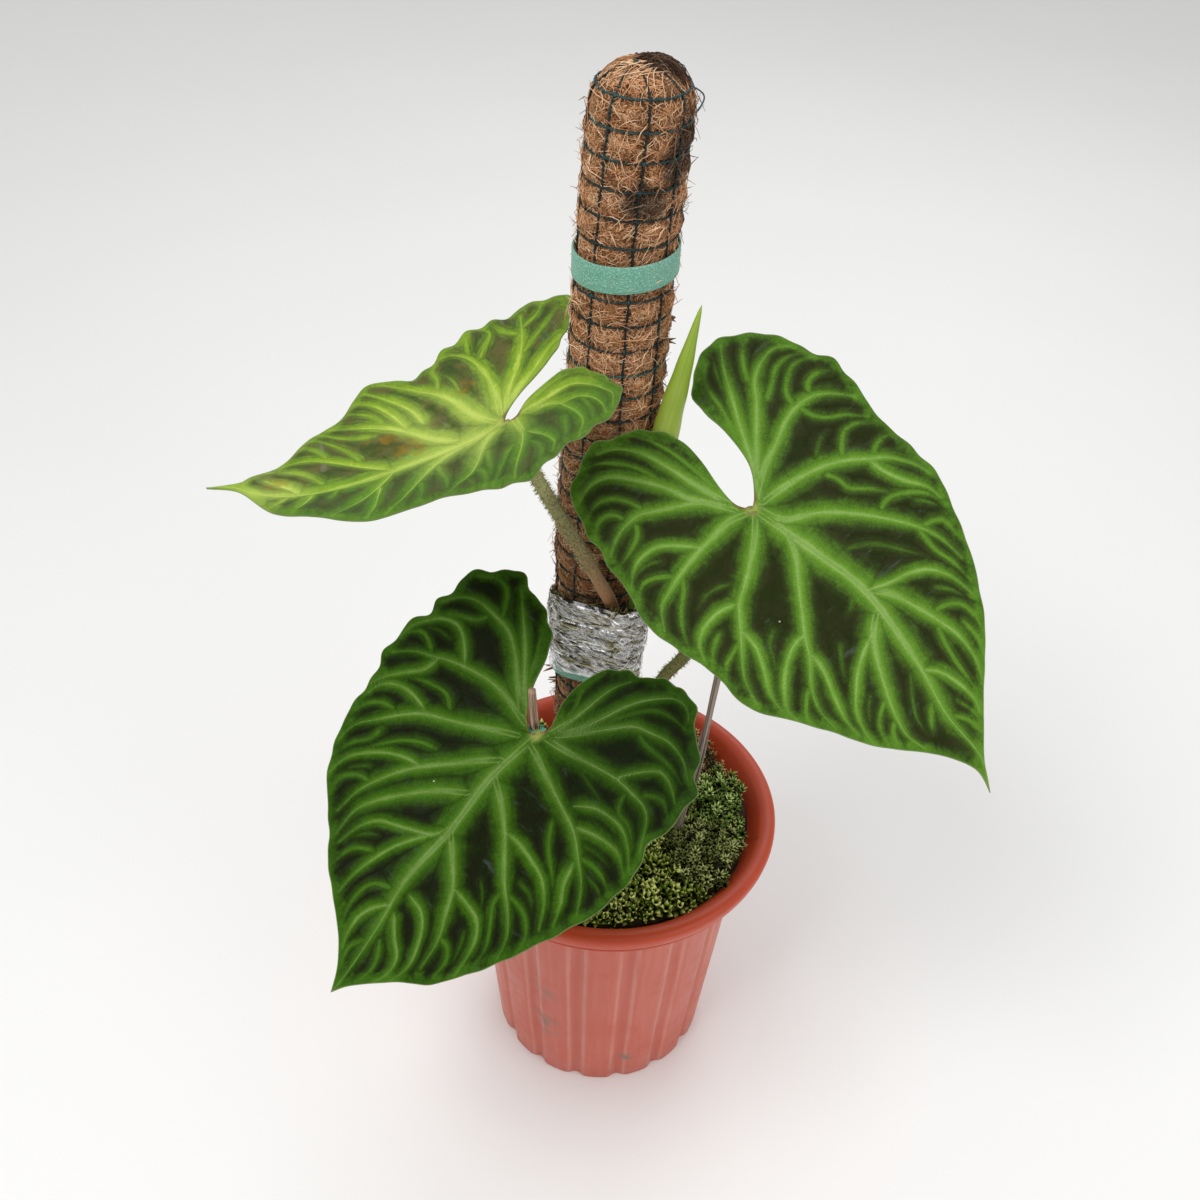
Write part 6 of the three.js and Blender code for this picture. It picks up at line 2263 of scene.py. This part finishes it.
LEAF_LOW = LeafForm(
    "blade_low", (-34.4, -52.4, 267.0), 228.0, 35.9, 2.3, 0.228, -0.00083, 0.00015, 12.0, 1.5,
    midrib=((137, 1), (128, 1), (106, 4), (82, 8), (55, 6), (27, 6), (0, 0)),
    right=((137, 1), (126, 8), (109, 26), (92, 45), (72, 63), (54, 73), (42, 78), (28, 77), (11, 79),
           (-5, 80), (-18, 75), (-34, 71), (-44, 67), (-50, 60), (-55, 50)),
    right_lobe=((0, 0), (1, 4), (-5, 10), (-17, 15), (-32, 18), (-44, 26), (-55, 50)),
    left=((137, 1), (130, -4), (117, -19), (106, -36), (90, -48), (72, -60), (55, -70), (40, -76), (24, -80),
          (10, -78), (-6, -81), (-20, -80), (-36, -69), (-48, -57), (-53, -45)),
    left_lobe=((0, 0), (-7, -3), (-18, -1), (-30, -3), (-42, -11), (-47, -27), (-53, -45)),
    veins="""
a -6,-5 -18,-8 -28,-6 -38,-10; v -4,-5 -14,-10 -26,-14 -35,-18 -42,-24;
v -3,-6 -12,-15 -22,-22 -32,-29 -40,-37 -46,-46 -46,-54 -42,-59;
a -20,-24 -30,-33 -37,-42 -39,-51 -38,-61;
v -3,-6 -12,-18 -20,-28 -27,-38 -29,-48 -30,-58 -27,-68 -22,-74;
a -27,-41 -24,-47 -23,-56 -22,-64 -19,-73; v -1,-5 -2,-19 -4,-34 -5,-46 -4,-57 -2,-66 4,-72 13,-76;
v -5,-45 -10,-50 -15,-56 -18,-62 -16,-69 -11,-76; a -5,-60 -8,-65 -9,-71 -5,-77;
a -4,-54 2,-55 6,-58 7,-64 11,-70 16,-74; t 1,-20 2,-32 5,-43 7,-54;
v 5,1 7,-5 12,-17 18,-32 23,-44 31,-54 38,-62 48,-69; v 14,-38 10,-46 9,-55 10,-63 15,-71 21,-77;
v 21,-44 19,-52 18,-61 19,-69 24,-76; a 30,-53 29,-61 30,-68 33,-74; t 15,-51 15,-60 16,-69;
t 25,-52 24,-60 25,-69; v 34,-53 42,-55 49,-60 57,-64; t 34,-63 35,-70 38,-74;
a 24,-32 30,-35 36,-40 42,-48 47,-54; v 26,4 33,-6 41,-16 50,-25 58,-33 65,-42 73,-49 82,-51;
v 41,-17 41,-25 43,-35 46,-45 53,-54 62,-60; a 60,-35 60,-44 62,-51 68,-57 75,-57;
t 53,-39 54,-46 58,-52; a 60,-34 67,-34 74,-39 82,-44 90,-45; v 56,5 64,-3 73,-12 83,-18 93,-24 105,-26;
v 73,-13 74,-22 76,-31 82,-37 91,-40 98,-41; t 83,-31 88,-34 95,-37; a 91,-23 92,-30 97,-34 104,-34;
t 63,-22 67,-27 71,-30; v 87,1 89,-8 94,-14 101,-18 109,-20 118,-17;
v 97,2 104,-5 109,-12 116,-14 123,-11; a 109,-1 114,-5 120,-7 127,-5; a -8,14 -20,19 -30,22 -41,27;
v -4,11 -15,19 -28,28 -38,36 -48,45; v -4,12 -14,22 -24,31 -30,39 -32,48 -33,58 -30,66 -24,72;
a -30,43 -38,46 -45,51 -46,58 -42,65; a -31,49 -26,53 -23,60 -21,66 -15,72; t -28,33 -34,40 -44,46;
v -1,8 -5,20 -7,32 -6,43 -4,53 -1,61 2,69 8,76; v -5,46 -11,50 -17,56 -19,62 -16,70 -9,76 0,79;
v -1,58 6,60 11,65 17,71 25,76; a -2,62 -6,67 -7,72 -2,78; t -12,59 -12,66 -9,73;
v 5,7 9,17 14,28 18,38 22,48 28,56 36,64 44,71 53,72; a 14,38 9,44 9,51 11,59 15,64;
v 20,49 18,56 18,64 22,71 29,75; a 28,61 29,67 33,72 39,75; a 38,60 45,61 51,66 59,68;
v 18,7 24,15 32,24 40,33 48,40 58,46 67,50 78,52; v 41,34 42,42 45,50 50,57 57,63 67,65;
a 60,47 60,53 65,59 73,60; t 54,52 58,57 63,61; a 31,34 33,42 38,50 46,57 52,62;
v 38,10 44,20 50,27 57,34 65,41 74,46 86,46; v 55,8 61,11 65,20 68,28 71,35 78,40 88,42;
v 61,11 68,17 76,22 85,25 95,27 104,27; a 82,27 84,32 88,36 96,37; t 76,31 79,36 84,39;
a 89,9 92,17 98,20 106,20 114,17; v 95,6 100,11 107,14 115,13 121,10; a 113,5 119,8 127,5""",
    scallop=0.8)

STALK_HIGH = Stalk("stalk_high", ((-0.6, 7.2, 272.8), (-3.4, 6, 291), (-14, 1.4, 318), (-37, -11.8, 374),
                                  (-46.5, -13.8, 396), (-50.4, -13.7, 402.4)), 2.95, 1500, 0.35)
STALK_RIGHT = Stalk("stalk_right", ((13.3, 3.1, 209.4), (16.4, 3.4, 229), (22, 4, 251), (31, 2, 268),
                                    (45, -4.5, 312), (51.2, -9, 352), (51.6, -9.8, 362.6)), 2.95, 1500)
STALK_LOW = Stalk("stalk_low", ((0.9, -6.4, 177.6), (-4, -14.6, 195), (-16, -32, 229), (-29.5, -46.5, 256),
                                (-34.4, -52.2, 266.6)), 2.95, 1100)
STEM = Stalk("stem_skin", ((7, 1, 150), (7, 2, 157), (5.5, 4, 200), (4, 6, 240), (1.5, 7.5, 272)), 5.2, 500)
CANE_RIGHT = Cane("cane_right_split", ((24, -19, 150), (31.3, -17.3, 157), (40.8, -14, 211), (45.4, -14, 268),
                                       (51, -15.4, 351)),
                  1.6, ((0.1, 0.44, 200.0, 2.4), (0.16, 0.46, 320.0, 1.0), (0.2, 0.42, 250.0, 1.5)))
CANE_LEFT = Cane("cane_left_split", ((-30, -33, 150), (-30, -34, 157), (-35.9, -44, 265), (-37.1, -46, 288)),
                 1.8, ((0.6, 0.99, 180.0, 0.8), (0.55, 0.97, 300.0, 0.7), (0.6, 0.98, 60.0, 0.6)))


@dataclass
class Studio:
    """Pale floor, soft lights and the camera of the photograph."""

    eye: Triple = (-9.633, -476.988, 710.084)
    tilt: float = 40.6
    roll: float = -2.6
    lens: float = 42.0
    sensor: float = 36.0
    sky: float = 0.62

    def floor(self) -> None:
        """Lays a wide pale floor under the pot."""
        Bench.clear()
        bpy.ops.mesh.primitive_plane_add(size=9.0, location=(0.0, 0.0, 0.0))
        made = bpy.context.object
        made.name = "studio_floor"
        b = Board("studio_paper")
        cloud = b.noise(b.place(), 0.004, 2.0)
        colour = b.mix(cloud, "f2f2f1", "f6f6f5")
        made.data.materials.append(b.skin(colour, 0.8, b.noise(b.place(), 0.8, 2.0), 0.05, 0.2))

    def camera(self) -> None:
        """Places the camera where the photograph was taken from."""
        data = bpy.data.cameras.new("view")
        data.lens, data.sensor_width = self.lens, self.sensor
        made = bpy.data.objects.new("view", data)
        bpy.context.scene.collection.objects.link(made)
        pitch, roll = math.radians(self.tilt), math.radians(self.roll)
        c, s = math.cos(pitch), math.sin(pitch)
        level = np.array([[1.0, 0.0, 0.0], [0.0, s, c], [0.0, -c, s]])
        c, s = math.cos(roll), math.sin(roll)
        seen = np.array([[c, -s, 0.0], [s, c, 0.0], [0.0, 0.0, 1.0]]) @ level
        made.matrix_world = Matrix.Translation(Vector(self.eye) * MM) @ Matrix(seen.T.tolist()).to_4x4()
        bpy.context.scene.camera = made

    @staticmethod
    def lamp(name: str, place: Triple, aim: Triple, size: float, power: float) -> None:
        """Adds a soft square light.

        Args:
            name: its name.
            place: where it hangs, in metres.
            aim: what it points at, in metres.
            size: its side, in metres.
            power: its power in watts.
        """
        data = bpy.data.lights.new(name, "AREA")
        data.shape, data.size, data.energy = "SQUARE", size, power
        made = bpy.data.objects.new(name, data)
        bpy.context.scene.collection.objects.link(made)
        made.location = place
        made.rotation_mode = "QUATERNION"
        made.rotation_quaternion = (Vector(aim) - Vector(place)).to_track_quat("-Z", "Y")

    def light(self) -> None:
        """Sets the sky and the soft lights."""
        world = bpy.data.worlds.new("studio")
        bpy.context.scene.world = world
        world.use_nodes = True
        sky = world.node_tree.nodes["Background"]
        sky.inputs["Color"].default_value = (1.0, 1.0, 1.0, 1.0)
        sky.inputs["Strength"].default_value = self.sky
        self.lamp("key", (-0.5, -0.55, 1.45), (0.0, 0.0, 0.25), 0.6, 9.5)
        self.lamp("fill", (0.95, -0.7, 0.9), (0.0, 0.0, 0.25), 0.8, 3.0)
        self.lamp("back", (0.3, 1.1, 1.2), (0.0, 0.0, 0.3), 0.8, 4.0)
        bpy.context.scene.view_settings.view_transform = "Standard"


class Plant:
    """The whole plant: builds each sub-assembly in turn and ties its pieces to the part."""

    def __init__(self) -> None:
        """Prepares the pole, which the net, the straps and the wrap follow."""
        self.pole = Pole()

    @staticmethod
    def dress_solid(node: str, finish: Material) -> None:
        """Gives a solid of the part, which no piece replaces, its finish."""
        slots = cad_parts[node].data.materials
        slots.clear()
        slots.append(finish)

    def pot(self) -> None:
        """Makes the pot and what fills it."""
        settle(Pot().build(PotFinish().dress()), ["pot"])
        self.dress_solid("soil", GroundFinish().dress())
        bed = MossBed()
        settle(bed.ground(GroundFinish("moss_litter").dress()), ["moss_mat"])
        looks = {Moss.LOOSE: ("060a00", "6c8410", "fcff9c"), Moss.GREEN: ("060d02", "6c8c2c", "e8fca4"),
                 Moss.OLIVE: ("0a0d04", "6e7a32", "d8de92"), Moss.BROWN: ("1a1408", "80682e", "d8c084")}
        for kind, (root, leaf, tip) in looks.items():
            finish = MossFinish(f"live_moss_{kind.value}", root, leaf, tip).dress()
            settle(bed.tufts(kind, finish), ["moss_mat"])

    def support(self) -> None:
        """Makes the pole, its net, its straps and the wrapped moss."""
        core = CoirFinish("coir_ground", "3c2414", "a46c42", "dba878", True).dress()
        loose = CoirFinish("coir", "74482a", "cc8c5a", "ffdcb4").dress()
        settle(self.pole.core(core), ["coir_pole"])
        stretches = ("low", 4.0, 128.0, 11), ("middle", 128.0, 252.0, 12), ("high", 252.0, 364.0, 13)
        for name, low, high, seed in stretches:
            settle(self.pole.fibres(f"coir_fibres_{name}", low, high, loose, seed), ["coir_pole"])
        settle(Net(self.pole).build(CordFinish().dress()), ["pole_net"])
        wrap = Wrap(self.pole)
        weave = StrapFinish().dress()
        settle(UpperStrap(self.pole).build(weave), ["strap_upper"])
        settle(wrap.strap(weave), ["strap_lower"])
        settle(wrap.wad(FibreFinish().dress()), ["sphagnum_wad"])
        film = settle(wrap.film(FilmFinish().dress()), ["wrap_film"])

    def leaves(self) -> None:
        """Makes the blades, their stalks, the stem and the new leaf."""
        blades = {"leaf_high": (LEAF_HIGH, LIGHT_LEAF), "leaf_right": (LEAF_RIGHT, DARK_LEAF),
                  "leaf_low": (LEAF_LOW, DEEP_LEAF)}
        for node, (form, colours) in blades.items():
            slot = f"{node}_velvet"
            settle(Leaf(form).build(BladeFinish(slot, colours)), [node])
        stalks = {"leaf_high": (STALK_HIGH, "9a6844", "a4a26a", "d4cca0"),
                  "leaf_right": (STALK_RIGHT, "6f6a3a", "7c8442", "b3ad72"),
                  "leaf_low": (STALK_LOW, "6f6a3a", "8b9a55", "bfc08a")}
        for node, (stalk, low, high, bristle) in stalks.items():
            finish = StalkFinish(f"{stalk.name}_skin", low, high, bristle).dress()
            settle(stalk.build(finish), [node])
        bark = StalkFinish("stem_bark", "5c5a30", "7a7f44", "a59a68").dress()
        settle(STEM.build(bark), ["stem"])
        settle(Spear().build(SpearFinish().dress()), ["new_leaf"])

    def canes(self) -> None:
        """Makes the two canes and the tie on the left one."""
        canes = {"cane_right": (CANE_RIGHT, "cane_weathered", "4e4038", "a8968a"),
                 "cane_left": (CANE_LEFT, "cane_pale", "6a4c3a", "d2b096")}
        for node, (cane, slot, dark, light) in canes.items():
            settle(cane.build(CaneFinish(slot, dark, light).dress()), [node])
        self.dress_solid("tie_low", bpy.data.materials["strap_weave"])


def main() -> None:
    """Builds the plant and the studio."""
    logging.basicConfig(level=logging.INFO, format="%(name)s: %(message)s")
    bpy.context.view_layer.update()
    studio = Studio()
    studio.camera()
    plant = Plant()
    plant.pot()
    plant.support()
    plant.leaves()
    plant.canes()
    studio.floor()
    studio.light()
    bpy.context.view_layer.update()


if __name__ == "__main__":
    main()
